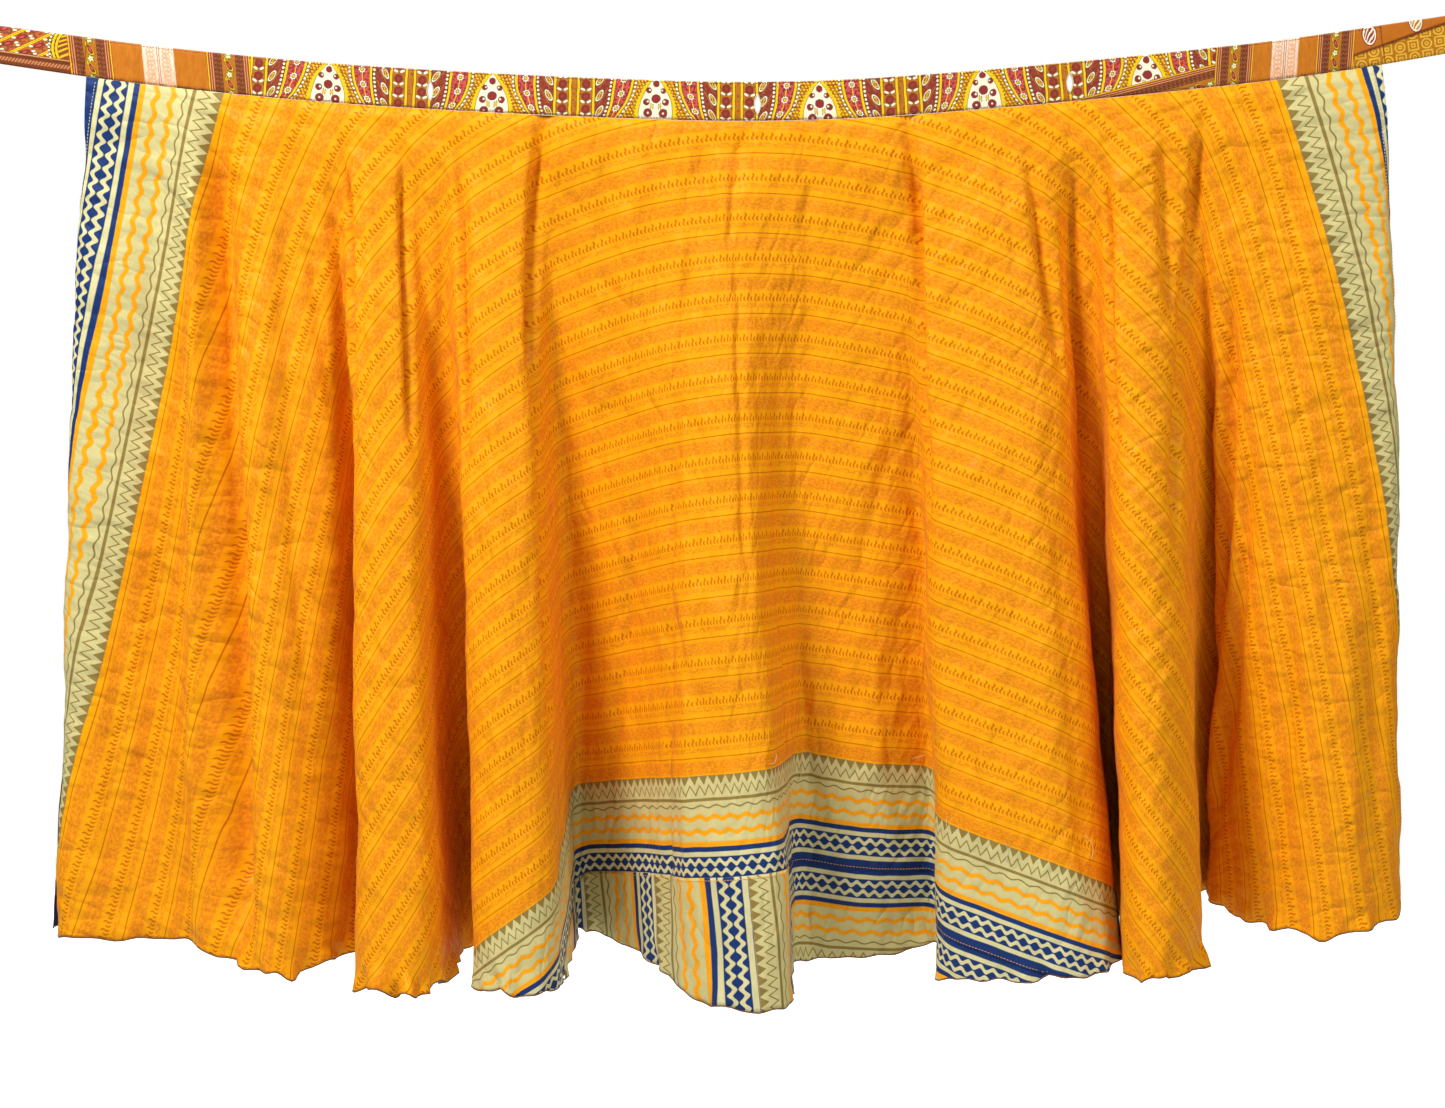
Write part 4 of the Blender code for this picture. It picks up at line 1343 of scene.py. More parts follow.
# A gold stripe's looped thread: how far a loop's middle is beside its column's, pitch, radius,
# half width and softness; the line between the two columns; and where the foot's peach tint
# starts and how soft that is
GOLD_LOOPS = (1.6, 4.2)
GOLD_RING = (1.8, 0.6, 0.7)
GOLD_MIDDLE = (0.9, 0.3, 0.5)
GOLD_PEACH_FOOT = (19.0, 34.0)


def gold_stripe(colour, beside, up, half):
    """A woven gold stripe: two columns of looped thread with a fine line between them, worn
    to peach in places, and more peach toward the foot."""
    aside = abs(beside)
    spread, pitch = GOLD_LOOPS
    loop = length_of(abs(aside - half / 2.0) - spread, centred(up, pitch))
    worn = mottle(joined(beside * 0.4, up * 0.16))
    thread = painted(loop.near(*GOLD_RING) * 0.7, BAND_ZARI, BAND_PEACH)
    # Peach where the thread is worn, and more peach toward the foot
    fading = worn.over(0.58, 0.2) * 0.5 + up.under(*GOLD_PEACH_FOOT) * 0.45
    thread = painted(fading, thread, BAND_PEACH)
    thread = painted(aside.near(*GOLD_MIDDLE), thread, BAND_PINK_BROWN)
    return painted(aside.near(0.0, (worn - 0.5) * 2.0 + half, 1.0) * 0.95, colour, thread)


# The right tie's cloth, in millimetres: the fold between its plain part and the small key
# pattern climbs along the tie, from its start and height by its slope up to its highest
KEY_START = (591.0, 12.6)
KEY_CLIMB = 0.19
KEY_HIGHEST = 30.0
# Half width of the dark line along the fold, which is partly painted shade of the folded edge
KEY_FOLD_SHADE_HALF = 1.5
KEY_CELLS = (13.0, 11.6)
KEY_LINE = 0.75
KEY_RING = 4.6
KEY_HEART = 1.5
TIE_KEY_LIGHT = linear(238, 188, 60)
TIE_KEY_DARK = linear(186, 122, 24)
TIE_PLAIN = linear(196, 112, 32)
# Dark brown of the fold's line and of its painted shade
TIE_FOLD_LINE_AND_SHADE = linear(104, 46, 22)
# Rounded motifs near the upper edge: place along, height, how much smaller, and inside ink
TIE_MOTIFS = ((609.0, 30.0, 1.0, BAND_MAROON), (655.0, 36.0, 1.0, TIE_KEY_DARK),
              (742.0, 34.0, 1.1, BAND_MAROON), (838.0, 37.0, 1.0, TIE_KEY_DARK),
              (968.0, 34.0, 1.1, BAND_MAROON))
# A motif's outline: its width, how much it narrows with height, and its flatness; its bent
# stripes: slant, length and height of the bend, pitch and half width; and its rings
MOTIF_SHAPE = (1.15, 0.012, 0.78)
MOTIF_STRIPES = (0.55, 11.0, 0.9, 3.4, 0.75)
MOTIF_RINGS = ((8.4, 0.6, BAND_MAROON), (7.3, 0.5, BAND_CREAM))
MOTIF_INSIDE = 6.0
KEY_UP_FROM = 2.0


def key_cloth(along, up):
    """Plain cloth with rounded motifs of bent stripes, folded over mustard cloth whose cells
    hold a square and a ring in turn. Along the fold lies a dark brown line with painted shade."""
    start, low = KEY_START
    fold = ((along - start) * KEY_CLIMB + low).made("MINIMUM", KEY_HIGHEST)
    cloud = mottle(joined(along * 0.06, up * 0.2))
    colour = painted(cloud.over(0.5), TIE_PLAIN, BAND_PLAIN_DARK)
    wide, narrowing, flatness = MOTIF_SHAPE
    slant, bend_length, bend, pitch, stripe_half = MOTIF_STRIPES
    for middle, height, size, ink in TIE_MOTIFS:
        x = (along - middle) * size
        y = (up - height) * size
        motif = length_of(x * (wide - y * narrowing), y * flatness)
        bent = x - y * slant + (x + 4.0).wave(bend_length, bend)
        stripes = centred(bent, pitch).near(0.0, stripe_half, 0.6)
        for radius, soft, ring_ink in MOTIF_RINGS:
            colour = painted(motif.under(radius, soft), colour, ring_ink)
        colour = painted(motif.under(MOTIF_INSIDE), colour, painted(stripes, ink, BAND_CREAM))
    across, tall = KEY_CELLS
    x = abs(centred(along, across))
    y = abs(centred(up, tall, KEY_UP_FROM))
    row = (up - KEY_UP_FROM + tall / 2.0).made("SNAP", tall)
    odd = centred(along + row * (across / tall), 2.0 * across, across / 2.0).over(0.0, 0.01)
    box = x.either(y)
    ring = length_of(x, y)
    shape = ring + (box - ring) * odd
    lines = shape.near(KEY_RING, KEY_LINE).either(shape.near(KEY_HEART, 0.6))
    key = painted(lines, TIE_KEY_DARK, TIE_KEY_LIGHT)
    key = painted((cloud * 2.0 - 0.6) * 0.35, key, BAND_RUST)
    colour = painted((up - fold).under(0.0, 0.4), colour, key)
    # The dark line along the fold: a brown line and the painted shade under the folded edge
    return painted((up - fold).near(0.0, KEY_FOLD_SHADE_HALF, 1.6) * 0.85, colour, TIE_FOLD_LINE_AND_SHADE)


# Where each kind of cloth lies along the band, in millimetres from the centre front: the
# middles of the vine borders with how wide they are drawn, and of the gold stripes
VINES = ((-648.0, 1.0), (-512.0, 1.0), (475.0, 0.86), (574.0, 0.86))
GOLD_STRIPES = ((-581.0, 15.5), (524.5, 13.0))
PAISLEY_FROM = -491.0
PAISLEY_TO = 457.0
# The strips fan out a little: how far their heads lie outward for each millimetre along and up
STRIPS_FAN = 0.00034
BAND_PRINT_END = 591.0
# The right end of the paisleys is cut slanting, so that the vine border beside them runs in
# along the band's foot: where it starts, how steeply it climbs, and how wide it is drawn
SLANT_START = 309.0
SLANT_CLIMB = 0.15
SLANT_SCALE = 0.86
# The finish of the band and of the ties
BAND_FINISH = {"rough": 0.55, "sheen": 0.04, "wrinkled": 0.25}


def band_print(along, rise):
    """The whole band's print, from places along it and up from its middle line."""
    up = rise + BAND_HALF
    fanned = along * (1.0 - rise * STRIPS_FAN)
    colour = plain_band(along, up)
    for middle, half in GOLD_STRIPES:
        colour = gold_stripe(colour, fanned - middle, up, half)
    inside = fanned.over(PAISLEY_FROM, 0.4) * fanned.under(PAISLEY_TO, 0.4)
    colour = painted(inside, colour, paisley(along, up))
    under_slant = (along - SLANT_START) * SLANT_CLIMB - up
    slanting = under_slant.over(0.0, 0.3) * inside
    colour = vined(colour, slanting, VINE_EDGE - under_slant / SLANT_SCALE, along)
    colour = painted(fanned.over(BAND_PRINT_END, 0.4), colour, key_cloth(along, up))
    for middle, scale in VINES:
        beside = (fanned - middle) / scale
        colour = vined(colour, beside.near(0.0, VINE_EDGE, 0.3), beside, up)
    return colour


# A strip's profile runs up its face to this share of its half height, and its rounded edge
# reaches this share of its half depth
FACE_SHARE = 0.93
EDGE_DEPTH = 0.8
EDGE_TURNS = (-60.0, 0.0, 60.0)


def strip_profile(points):
    """Heights from -1 to 1 and depths from -1 to 1 round a flat strip with rounded edges."""
    face = np.linspace(-FACE_SHARE, FACE_SHARE, points)
    edge = np.radians(EDGE_TURNS)
    top_height = FACE_SHARE + (1.0 - FACE_SHARE) * np.cos(edge)
    top_depth = np.sin(edge) * EDGE_DEPTH
    heights = np.concatenate([face, top_height, face[::-1], -top_height])
    depths = np.concatenate([-np.ones(points), top_depth, np.ones(points), -top_depth])
    return heights, depths


def strip_points(places, heights, wall, face_points, lift):
    """A closed strip along the band line: rings of points, and each point's flat place.

    A ring's points lie up and down the strip by its height at that place, and to the front
    and back by half its wall. lift moves them to the back, by their place and height.
    """
    slope = band_height(places + SLOPE_STEP) - band_height(places - SLOPE_STEP)
    step = np.full_like(slope, 2.0 * SLOPE_STEP)
    along = unit(np.stack([step, np.zeros_like(slope), slope], axis=-1))
    up = np.stack([-along[:, 2], np.zeros_like(slope), along[:, 0]], axis=-1)
    middle = np.stack([places + MIDDLE_X, np.zeros_like(places), band_height(places)], -1)
    up_share, depth_share = strip_profile(face_points)
    rise = up_share * heights[:, None] / 2.0
    points = middle[:, None, :] + up[:, None, :] * rise[..., None]
    points[..., 1] += depth_share * wall / 2.0 + lift(places[:, None], up_share)
    flat = np.stack([np.broadcast_to(places[:, None], rise.shape), rise], axis=-1)
    return points, flat


def strip_faces(stations, around):
    """Faces of a closed strip, and of its two ends, where a ring's points are joined across."""
    sides = grid_faces(stations, around, closed=True)
    near_side = np.arange(around // 2 - 1)
    end = np.stack([near_side, near_side + 1, around - 2 - near_side, around - 1 - near_side],
                   axis=-1)
    other_end = end[:, ::-1] + (stations - 1) * around
    return np.concatenate([sides, end, other_end])


def band_lift(place, up_share):
    """Small puckers of the seam, sine waves along the band, most of all at its lower edge."""
    least, more = PUCKER_SHARE
    share = least + more * (1.0 - up_share)
    return share * sum(height * np.sin(2.0 * np.pi * place / wave) for wave, height in PUCKERS)


def slit_outline(middle, above):
    """Points round a lens with two sharp ends, in the band's plane: each side is a cosine
    bow."""
    turn = np.linspace(-1.0, 1.0, SLIT_POINTS)
    across = np.cos(turn * np.pi / 2.0) * SLIT_WIDTH / 2.0
    across = np.concatenate([across, -across[-2:0:-1]])
    rise = np.concatenate([turn, turn[-2:0:-1]]) * SLIT_HEIGHT / 2.0
    x = middle + MIDDLE_X + across
    return np.stack([x, np.zeros_like(x), band_height(middle) + above + rise], axis=-1)


def cut_slits(piece):
    """Cuts the three slits through the piece with lens-shaped prisms."""
    reach = np.array([0.0, 2.0 * BAND_WALL, 0.0])
    cutters = []
    for name, middle, above in SLITS:
        outline = slit_outline(middle, above)
        count = len(outline)
        prism = np.concatenate([outline - reach, outline + reach])
        number = np.arange(count)
        following = (number + 1) % count
        sides = np.stack([number, number + count, following + count, following], axis=-1)
        faces = sides.tolist() + [number.tolist(), (number[::-1] + count).tolist()]
        mesh = bpy.data.meshes.new("slit_prism")
        mesh.from_pydata(prism, [], faces)
        cut = piece.modifiers.new("slit_" + name, "BOOLEAN")
        cut.operation = "DIFFERENCE"
        cut.solver = "EXACT"
        cut.object = add_object("slit_prism", mesh)
        cutters.append(cut.object)
    graph = bpy.context.evaluated_depsgraph_get()
    cut_mesh = bpy.data.meshes.new_from_object(piece.evaluated_get(graph))
    piece.modifiers.clear()
    piece.data = cut_mesh
    for cutter in cutters:
        bpy.data.objects.remove(cutter, do_unlink=True)


band_places = np.linspace(LEFT_EDGE_ANGLE, RIGHT_EDGE_ANGLE, BAND_STATIONS) * BAND_PER_DEGREE
band_points, band_flat = strip_points(band_places, np.full(BAND_STATIONS, BAND_HEIGHT),
                                      BAND_WALL, BAND_FACE_POINTS, band_lift)
band = add_mesh("waistband_cloth", band_points, strip_faces(*band_points.shape[:2]),
                cloth_material("band_print", band_print, **BAND_FINISH), band_flat)
cut_slits(band)
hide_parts("waistband")


# Each tie is a strip folded lengthwise, sewn to the band's end and held up by its own end. The
# left one has paisley cloth over a ribbed brown strip, the right one plain cloth over a small
# key pattern.
TIE_LENGTH = 0.480
TIE_WALL = 0.0022
LEFT_TIE_END_HEIGHT = 0.030
RIGHT_TIE_END_HEIGHT = 0.026
TIE_STATIONS = 240
TIE_FACE_POINTS = 21
TIE_FOLD_STEP = 0.0007
TIE_FOLD_SOFT = 0.04
TIE_RIPPLES = ((0.047, 0.0004), (0.029, 0.0003))
# The ripples' share of that height at the middle line, and how much more at the upper edge
RIPPLE_SHARE = (0.4, 0.6)
TIE_RIBBED = linear(122, 62, 30)
TIE_TERRACOTTA = linear(192, 104, 46)
LEFT_FOLD_UP = 13.5
# The left tie's slanting double lines, in millimetres: from one pair to the next, how far they
# slant for each millimetre up, and the places of the two
SLANT_PITCH = 27.0
SLANT = 1.55
SLANT_LINES = (8.6, 11.3)
# Its curved lines with beads: middle of their circle, and radius of each line and the beads
ARC_MIDDLE = (-661.0, 26.0)
ARC_LINES = (25.0, 21.4)
ARC_BEADS = 28.6
ARC_GROUND = 30.0
# Its buds, in millimetres: place in a pair's repeat and their own repeat upward, radius and
# heart, and how the row climbs; its small leaves by place and height; and its brown strip's
# cord, the cord's ribs, and the lines over it
BUD_PLACE = (20.0, 13.0)
BUD_RADII = (4.6, 2.6)
ROW_CLIMB = 0.35
TIE_LEAVES = ((3.4, 3.4), (15.0, -4.4), (25.2, 5.2))
TIE_CORD = (6.2, 1.9, 0.8)
TIE_CORD_RIBS = (0.6, 3.2, 0.5)
TIE_STRIP_LINES = ((10.4, 1.1, 0.6, 0.7, BAND_BROWN), (12.6, 0.55, 0.5, 1.0, BAND_PEACH))


def left_fold(place):
    """Height of the left tie's fold, from -1 at its lower edge to 1 at its upper."""
    return np.full_like(place, LEFT_FOLD_UP / BAND_HALF - 1.0)


def right_fold(place):
    """Height of the right tie's fold, from -1 at its lower edge to 1: it climbs outward."""
    start, low = KEY_START
    climbed = (place * MM_PER_METRE - start) * KEY_CLIMB + low
    return np.minimum(climbed, KEY_HIGHEST) / BAND_HALF - 1.0


def folded_lift(fold):
    """How far a tie's cloth lies to the back: its part above the fold lies a step in front of
    the lower part, and its length ripples."""

    def lift(place, up_share):
        step = -TIE_FOLD_STEP / 2.0 * np.tanh((up_share - fold(place)) / TIE_FOLD_SOFT)
        ripple = sum(height * np.sin(2.0 * np.pi * place / wave)
                     for wave, height in TIE_RIPPLES)
        middle, more = RIPPLE_SHARE
        return step + ripple * (middle + more * up_share)

    return lift


def left_tie_print(along, rise):
    """Paisley cloth crossed by double yellow lines, over a brown strip with a ribbed cord."""
    up = rise + BAND_HALF
    small = mottle(joined(along * 0.3, up * 0.3), 1.0, 1.0)
    colour = painted(small.over(0.52, 0.1), TIE_TERRACOTTA, BAND_RUST)
    slant = (along - up * SLANT) % SLANT_PITCH
    climb = up + along * ROW_CLIMB
    place, repeat = BUD_PLACE
    radius, heart = BUD_RADII
    bud = length_of(slant - place, centred(climb, repeat)) + small * 1.4
    colour = outlined(colour, bud, radius, BAND_MAROON)
    colour = painted(bud.under(heart, 0.6), colour, BAND_RED)
    for beside, height in TIE_LEAVES:
        leaf = length_of((slant - beside) * 0.7, centred(climb, repeat, height) * 1.2)
        colour = outlined(colour, leaf, 1.7, BAND_CREAM)
    for middle in SLANT_LINES:
        colour = outlined(colour, abs(slant - middle), 1.0, BAND_YELLOW, 0.35)
    middle, height = ARC_MIDDLE
    arc = length_of(along - middle, up - height)
    veins = centred(up + (arc - ARC_GROUND) * 0.5, 5.0).near(0.0, 0.9, 0.6)
    inside = painted(veins * 0.9, BAND_RUST, BAND_YELLOW)
    inside = outlined(inside, abs(arc - ARC_BEADS), 0.4, BAND_RUST)
    inside = beads(inside, arc - ARC_BEADS, up, 3.4, 1.1)
    for radius in ARC_LINES:
        inside = outlined(inside, abs(arc - radius), 1.1, BAND_YELLOW)
    colour = painted(arc.under(ARC_GROUND, 0.3), colour, inside)
    rib_slant, rib_pitch, rib_half = TIE_CORD_RIBS
    ribs = centred(along - up * rib_slant, rib_pitch).near(0.0, rib_half, 0.6)
    cord = up.near(*TIE_CORD)
    strip = painted(cord * 0.8, TIE_RIBBED, BAND_PINK_BROWN)
    strip = painted(ribs * cord * 0.85, strip, BAND_PEACH)
    for height, half, soft, share, ink in TIE_STRIP_LINES:
        strip = painted(up.near(height, half, soft) * share, strip, ink)
    colour = painted(up.under(LEFT_FOLD_UP, 0.4), colour, strip)
    beside = along * (1.0 - rise * STRIPS_FAN) - VINES[0][0]
    return vined(colour, beside.over(-VINE_EDGE, 0.3), beside, up)


def right_tie_print(along, rise):
    """The same cloth as at the band's right end."""
    return key_cloth(along, rise + BAND_HALF)


def add_tie(name, start, end, start_height, end_height, fold, print_colour):
    """A strip from start to end along the band line, narrower at its held end."""
    share = np.linspace(0.0, 1.0, TIE_STATIONS)
    heights = start_height + (end_height - start_height) * share
    points, flat = strip_points(start + (end - start) * share, heights, TIE_WALL,
                                TIE_FACE_POINTS, folded_lift(fold))
    flat[..., 1] *= BAND_HEIGHT / heights[:, None]
    material = cloth_material(name + "_print", print_colour, **BAND_FINISH)
    piece = add_mesh(name + "_cloth", points, strip_faces(*points.shape[:2]), material, flat)
    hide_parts(name)


add_tie("tie_left", band_places[0] - SEAM_GAP - TIE_LENGTH, band_places[0] - SEAM_GAP,
        LEFT_TIE_END_HEIGHT, BAND_HEIGHT, left_fold, left_tie_print)
add_tie("tie_right", band_places[-1] + SEAM_GAP, band_places[-1] + SEAM_GAP + TIE_LENGTH,
        BAND_HEIGHT, RIGHT_TIE_END_HEIGHT, right_fold, right_tie_print)


# Sewing thread: pale stitches hold the narrow hems of the opening edges, and amber ones the
# seam where the border strips meet the sari. Brown thread holds the band's two edges and
# overlocks the curved hems, pale thread binds the slits, and a few loose ends hang on the cloth.
STITCH_RINGS = ((-0.5, 0.45), (-0.2, 1.0), (0.2, 1.0), (0.5, 0.45))
STITCH_SIDES = 4
TOPSTITCH_INSET = 0.0085
TOPSTITCH_PITCH = 0.0034
TOPSTITCH_SIZE = (0.0024, 0.00040, 0.00026)
TOPSTITCH_RISE = 0.0006
PATH_POINTS = 260
# The opening edges' stitches start at this share of the hem's drop and end above the hem
EDGE_TOP = 0.004
EDGE_FOOT = 0.002
# How far the seam's stitches lie inside the edge of the piece that they go through
SEAM_STITCH_INSIDE = 0.003
BAND_STITCH_PITCH = 0.0030
BAND_STITCH_SIZE = (0.0021, 0.00032, 0.00022)
BAND_STITCH_UP = 0.0016
# Of the overlock, half its width across the hem and square to the cloth
HEM_THREAD = (0.00085, 0.00060)
HEM_THREAD_SIDES = 6
SLIT_THREAD = 0.00055
LOOSE_THREAD = 0.00030
# Loose ends: place on the cloth, length in metres, heading and how far it bends, in degrees
LOOSE_ENDS = (
    (-17.2, 0.703, 0.030, 200.0, 70.0),
    (-2.2, 0.635, 0.022, 20.0, -90.0),
    (5.4, 0.649, 0.034, 75.0, 60.0),
    (12.8, 0.660, 0.018, 320.0, 40.0),
    (20.2, 0.697, 0.026, 100.0, -80.0),
    (23.2, 0.725, 0.020, 50.0, 60.0),
    (28.2, 0.729, 0.030, 10.0, 100.0),
)
LOOSE_POINTS = 18
# How high a loose end lies over the cloth, at its ends and how much more in its middle
LOOSE_RISE = (0.0012, 0.0010)
PALE_THREAD = linear(238, 226, 178)
AMBER_THREAD = linear(240, 170, 60)
BROWN_THREAD = linear(122, 72, 30)
# Length of a turn of the twist, in the stitches and in the brown thread
THREAD_TWIST = 0.0009
BROWN_TWIST = 0.0016
THREAD_ROUGHNESS = 0.6
THREAD_SHEEN = 0.1
# A thread's turns along y and z, for each turn along x, how dark the painted shade in their
# valleys is, and scale of its fuzz
TWIST_Y = 0.4
TWIST_Z = 0.6
THREAD_VALLEY_SHADE = 0.62
THREAD_FUZZ = 1400.0
THREAD_BUMP = 0.4
THREAD_BUMP_HEIGHT = 0.0002
# Half steps down and to the right that a normal is worked out from
STEP_DOWN = 0.001
STEP_ANGLE = 0.05


def laid(folds, angle, drop, offset):
    """Points of a layer and its normals, at any angles and drops.

    A normal is square to two short steps on the smooth folds, down and to the right.
    """
    down, up, right, left, smooth = (
        hung_points(folds, angle + aside, drop + below)
        for aside, below in ((0.0, STEP_DOWN), (0.0, -STEP_DOWN), (STEP_ANGLE, 0.0),
                             (-STEP_ANGLE, 0.0), (0.0, 0.0)))
    normals = unit(np.cross(down - up, right - left))
    return smooth + normals * standing_off(angle, drop, offset)[..., None], normals


def tube_rings(path, normals, across, out, sides):
    """Rings of points round a line, each an ellipse square to it that lies across as far as
    across and along the normals as far as out."""
    tangents = unit(np.gradient(path, axis=0))
    aside = unit(np.cross(tangents, normals))
    outward = np.cross(aside, tangents)
    turn = np.linspace(0.0, 2.0 * np.pi, sides, endpoint=False)[:, None]
    return path[:, None] + (np.cos(turn) * across * aside[:, None]
                            + np.sin(turn) * out * outward[:, None])


def tube_faces(rings, sides):
    """Faces of a tube with closed ends."""
    ends = [list(range(sides)), [rings * sides - 1 - number for number in range(sides)]]
    return grid_faces(rings, sides, closed=True).tolist() + ends


def stitch_row(path, normals, pitch, size):
    """Points of a row of stitches along a line: each is a short bar with four sides, thicker
    in its middle, laid at even steps of the line's running length."""
    length, across, out = size
    run = np.concatenate([[0.0], np.cumsum(np.linalg.norm(np.diff(path, axis=0), axis=-1))])
    middle = (np.arange(int(run[-1] / pitch)) + 0.5) * pitch

    def on_line(values, at):
        """Values between those of the line's points, in proportion to its running length."""
        return np.stack([np.interp(at, run, values[:, axis]) for axis in range(3)], axis=-1)

    ahead = unit(on_line(path, middle + length / 2.0) - on_line(path, middle - length / 2.0))
    out_way = unit(on_line(normals, middle))
    aside = np.cross(ahead, out_way)
    along, girth = np.array(STITCH_RINGS).T
    turn = np.linspace(0.0, 2.0 * np.pi, STITCH_SIDES, endpoint=False)
    rings = [np.broadcast_to(along[:, None], (len(along), STITCH_SIDES)) * length,
             girth[:, None] * np.cos(turn) * across, girth[:, None] * np.sin(turn) * out]
    flat_rings = [part.reshape(1, -1, 1) for part in rings]
    return (on_line(path, middle)[:, None] + flat_rings[0] * ahead[:, None]
            + flat_rings[1] * aside[:, None] + flat_rings[2] * out_way[:, None])


def thread_material(name, colour, twist):
    """Twisted thread: slanting turns from the place in metres, with painted shade in the valleys
    between them.
    """
    material, tree, shader = new_material(
        name, Roughness=THREAD_ROUGHNESS, Sheen_Weight=THREAD_SHEEN)
    place = add_node(tree, "TexCoord").outputs["Object"]
    apart = add_node(tree, "SeparateXYZ", Vector=place)
    x, y, z = (Reading(apart.outputs[axis]) for axis in "XYZ")
    turns = (x + z * TWIST_Z + y * TWIST_Y).wave(twist, 0.5)
    fuzz = mottle(place, THREAD_FUZZ, 1.0)
    # dark is the thread's colour with painted shade, laid in the valleys between the turns
    dark = tuple(part * THREAD_VALLEY_SHADE for part in colour[:3]) + (1.0,)
    relief = add_node(tree, "Bump", Strength=THREAD_BUMP, Distance=THREAD_BUMP_HEIGHT,
                      Height=turns)
    set_inputs(shader, Base_Color=painted((turns + fuzz).over(0.5, 1.2), dark, colour),
               Normal=relief.outputs["Normal"])
    return material


def add_stitches(name, rows, material):
    """One object of several rows of stitches: the faces of one bar, repeated for each."""
    stitches = np.concatenate(rows)
    rings = len(STITCH_RINGS)
    each = rings * STITCH_SIDES
    sides = grid_faces(rings, STITCH_SIDES, closed=True)
    ends = np.array([np.arange(STITCH_SIDES), each - 1 - np.arange(STITCH_SIDES)])
    one = np.concatenate([sides, ends])
    starts = np.arange(len(stitches))[:, None, None] * each
    piece = add_mesh(name, stitches, (starts + one).reshape(-1, 4), material)


def edge_line(edge_angle, side, layer, offset):
    """A line down a layer, a little inside its opening edge: points and normals."""
    foot = full_hem(np.array(edge_angle)) - EDGE_FOOT
    drop = np.linspace(EDGE_TOP, 1.0, PATH_POINTS) * foot
    angle = edge_angle - side * np.degrees(TOPSTITCH_INSET / (WAIST_RADIUS + drop))
    return laid(layer, angle, drop, offset)


PALE_SEWING = thread_material("pale_thread", PALE_THREAD, THREAD_TWIST)
AMBER_SEWING = thread_material("amber_thread", AMBER_THREAD, THREAD_TWIST)
BROWN_SEWING = thread_material("brown_thread", BROWN_THREAD, BROWN_TWIST)


def topstitched(line, out_way):
    """A row of topstitches along a line of the cloth."""
    return stitch_row(line + out_way * TOPSTITCH_RISE, out_way, TOPSTITCH_PITCH, TOPSTITCH_SIZE)


edge_rows = [topstitched(*edge_line(edge_angle, side, FOLDS, OUTER_OFFSET))
             for edge_angle, side in ((LEFT_EDGE_ANGLE, -1.0), (RIGHT_EDGE_ANGLE, 1.0))]
add_stitches("opening_edge_stitches", edge_rows, PALE_SEWING)

seam_rows = []
for first, last, below, rise in (
        (EXTENSION_LEFT_END, EXTENSION_JOIN, SEAM_STITCH_INSIDE - LEFT_OVERLAP, LEFT_OFFSET),
        (EXTENSION_JOIN, EXTENSION_RIGHT_END, -SEAM_STITCH_INSIDE, OUTER_OFFSET)):
    angle = np.linspace(first, last, PATH_POINTS)
    seam_rows.append(topstitched(*laid(FOLDS, angle, selvedge_drop(angle) + below, rise)))
add_stitches("extension_seam_stitches", seam_rows, AMBER_SEWING)

hem_angles = np.interp(outer_places, np.arange(len(FOLDS)),
                       columns(FOLDS, FOLD_COLUMNS, "angle_hem")[0])
left_part = hem_angles < EXTENSION_LEFT_END
right_part = hem_angles > EXTENSION_RIGHT_END


def whole_hem(outer, left, right):
    """The last row of the outer layer's three grids, from its left edge to its right."""
    return np.concatenate([outer[-1][left_part], left[-1], right[-1], outer[-1][right_part]])


hem_lines = {
    "outer": (whole_hem(outer_points, left_points, right_points),
              whole_hem(outer_normals, left_normals, right_normals)),
    "under": (under_points[-1], under_normals[-1]),
}
for layer, (line, out_way) in hem_lines.items():
    rings = tube_rings(line, out_way, *HEM_THREAD, HEM_THREAD_SIDES)
    overlock = add_mesh("hem_overlock_" + layer, rings, tube_faces(len(line), HEM_THREAD_SIDES),
                        BROWN_SEWING)

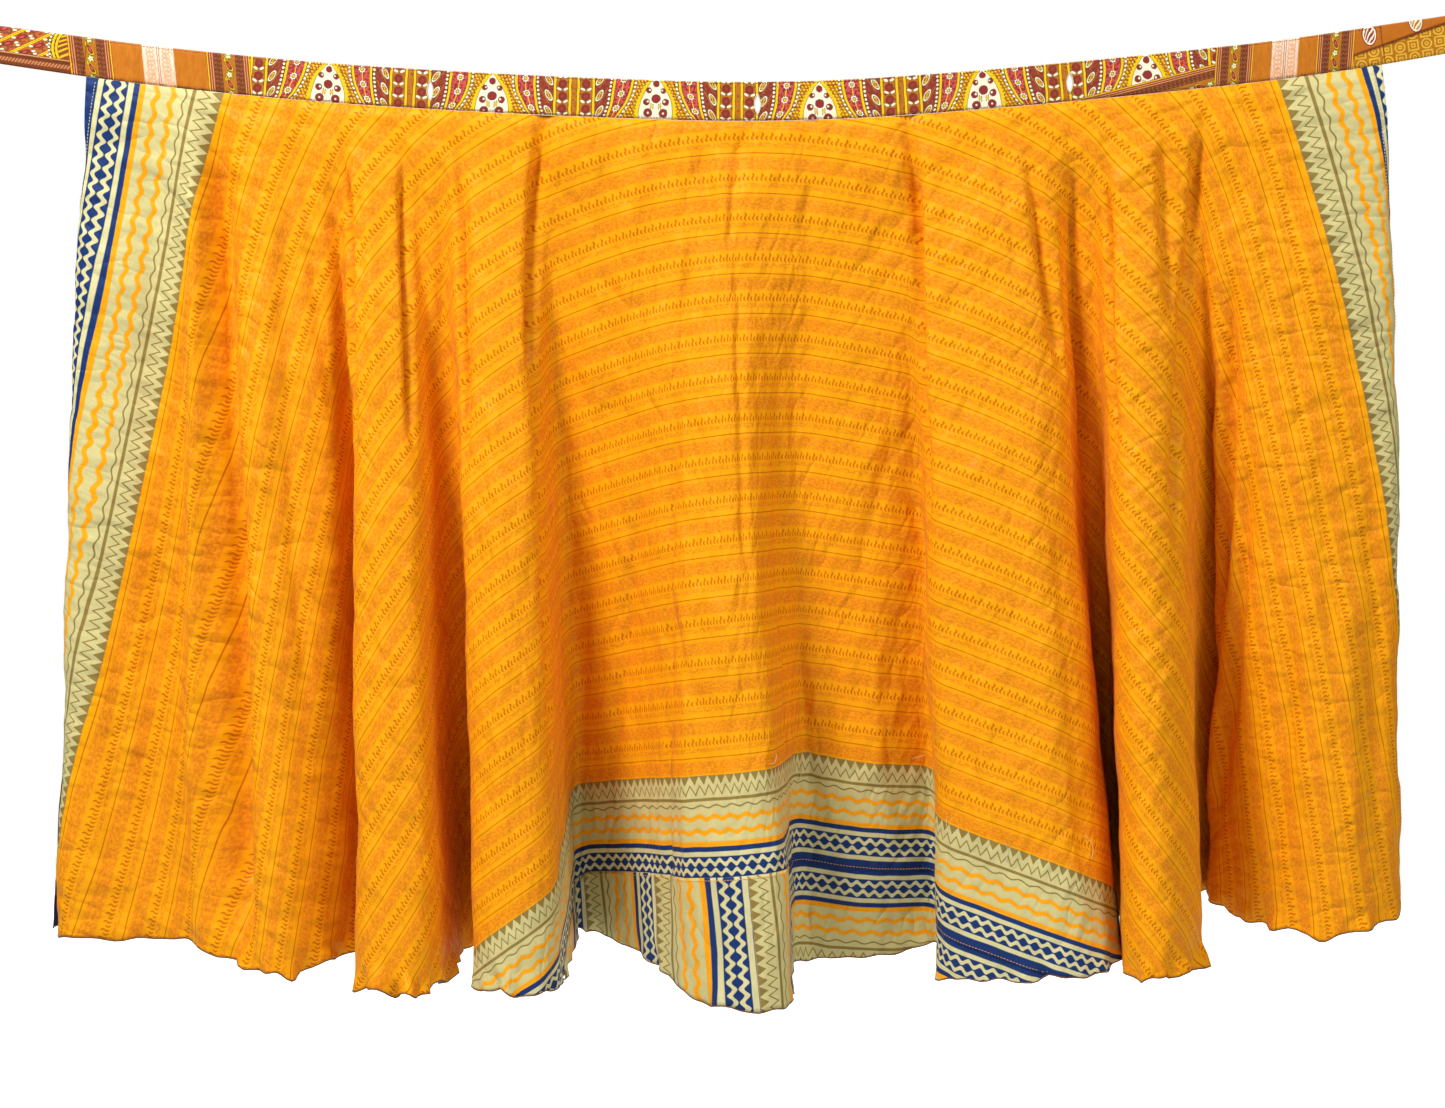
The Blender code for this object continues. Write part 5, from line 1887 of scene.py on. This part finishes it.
band_line = np.stack([band_places + MIDDLE_X, np.full(BAND_STATIONS, -BAND_WALL / 2.0),
                      band_height(band_places)], axis=-1)
to_viewer = np.broadcast_to((0.0, -1.0, 0.0), band_line.shape)
band_rows = []
for height in (BAND_STITCH_UP - BAND_HEIGHT / 2.0, BAND_HEIGHT / 2.0 - BAND_STITCH_UP):
    share = 2.0 * height / BAND_HEIGHT
    lifted = band_line + np.array((0.0, 0.0, height))
    lifted[:, 1] += band_lift(band_places, share) - BAND_STITCH_SIZE[2] / 2.0
    band_rows.append(stitch_row(lifted, to_viewer, BAND_STITCH_PITCH, BAND_STITCH_SIZE))
add_stitches("band_stitches", band_rows, BROWN_SEWING)

for name, middle, above in SLITS:
    for face, side in (("front", -1.0), ("back", 1.0)):
        outline = slit_outline(middle, above)
        outline[:, 1] = side * BAND_WALL / 2.0
        count = len(outline)
        around = np.concatenate([outline, outline[:1]])
        out_way = np.broadcast_to(np.array((0.0, side, 0.0)), around.shape)
        rings = tube_rings(around, out_way, SLIT_THREAD, SLIT_THREAD, HEM_THREAD_SIDES)[:count]
        faces = grid_faces(count + 1, HEM_THREAD_SIDES, closed=True) % (count * HEM_THREAD_SIDES)
        binding = add_mesh(f"slit_thread_{name}_{face}", rings, faces, PALE_SEWING)

rise, more = LOOSE_RISE
for number, (angle, drop, length, heading, bend) in enumerate(LOOSE_ENDS):
    run = np.linspace(0.0, 1.0, LOOSE_POINTS)
    turned = np.radians(heading + bend * run)
    step = length / LOOSE_POINTS
    start = cut_places(np.array(angle), np.array(drop))
    flat = start + np.cumsum(np.stack([np.cos(turned), np.sin(turned)], -1) * step, axis=0)
    radius = np.hypot(flat[:, 0], flat[:, 1])
    line, out_way = laid(FOLDS, np.degrees(np.arctan2(flat[:, 0], flat[:, 1])),
                         radius - WAIST_RADIUS, OUTER_OFFSET)
    line = line + out_way * (rise + more * np.sin(run * np.pi))[:, None]
    rings = tube_rings(line, out_way, LOOSE_THREAD, LOOSE_THREAD, STITCH_SIDES)
    loose = add_mesh(f"loose_thread_{number + 1}", rings,
                     tube_faces(LOOSE_POINTS, STITCH_SIDES), PALE_SEWING)
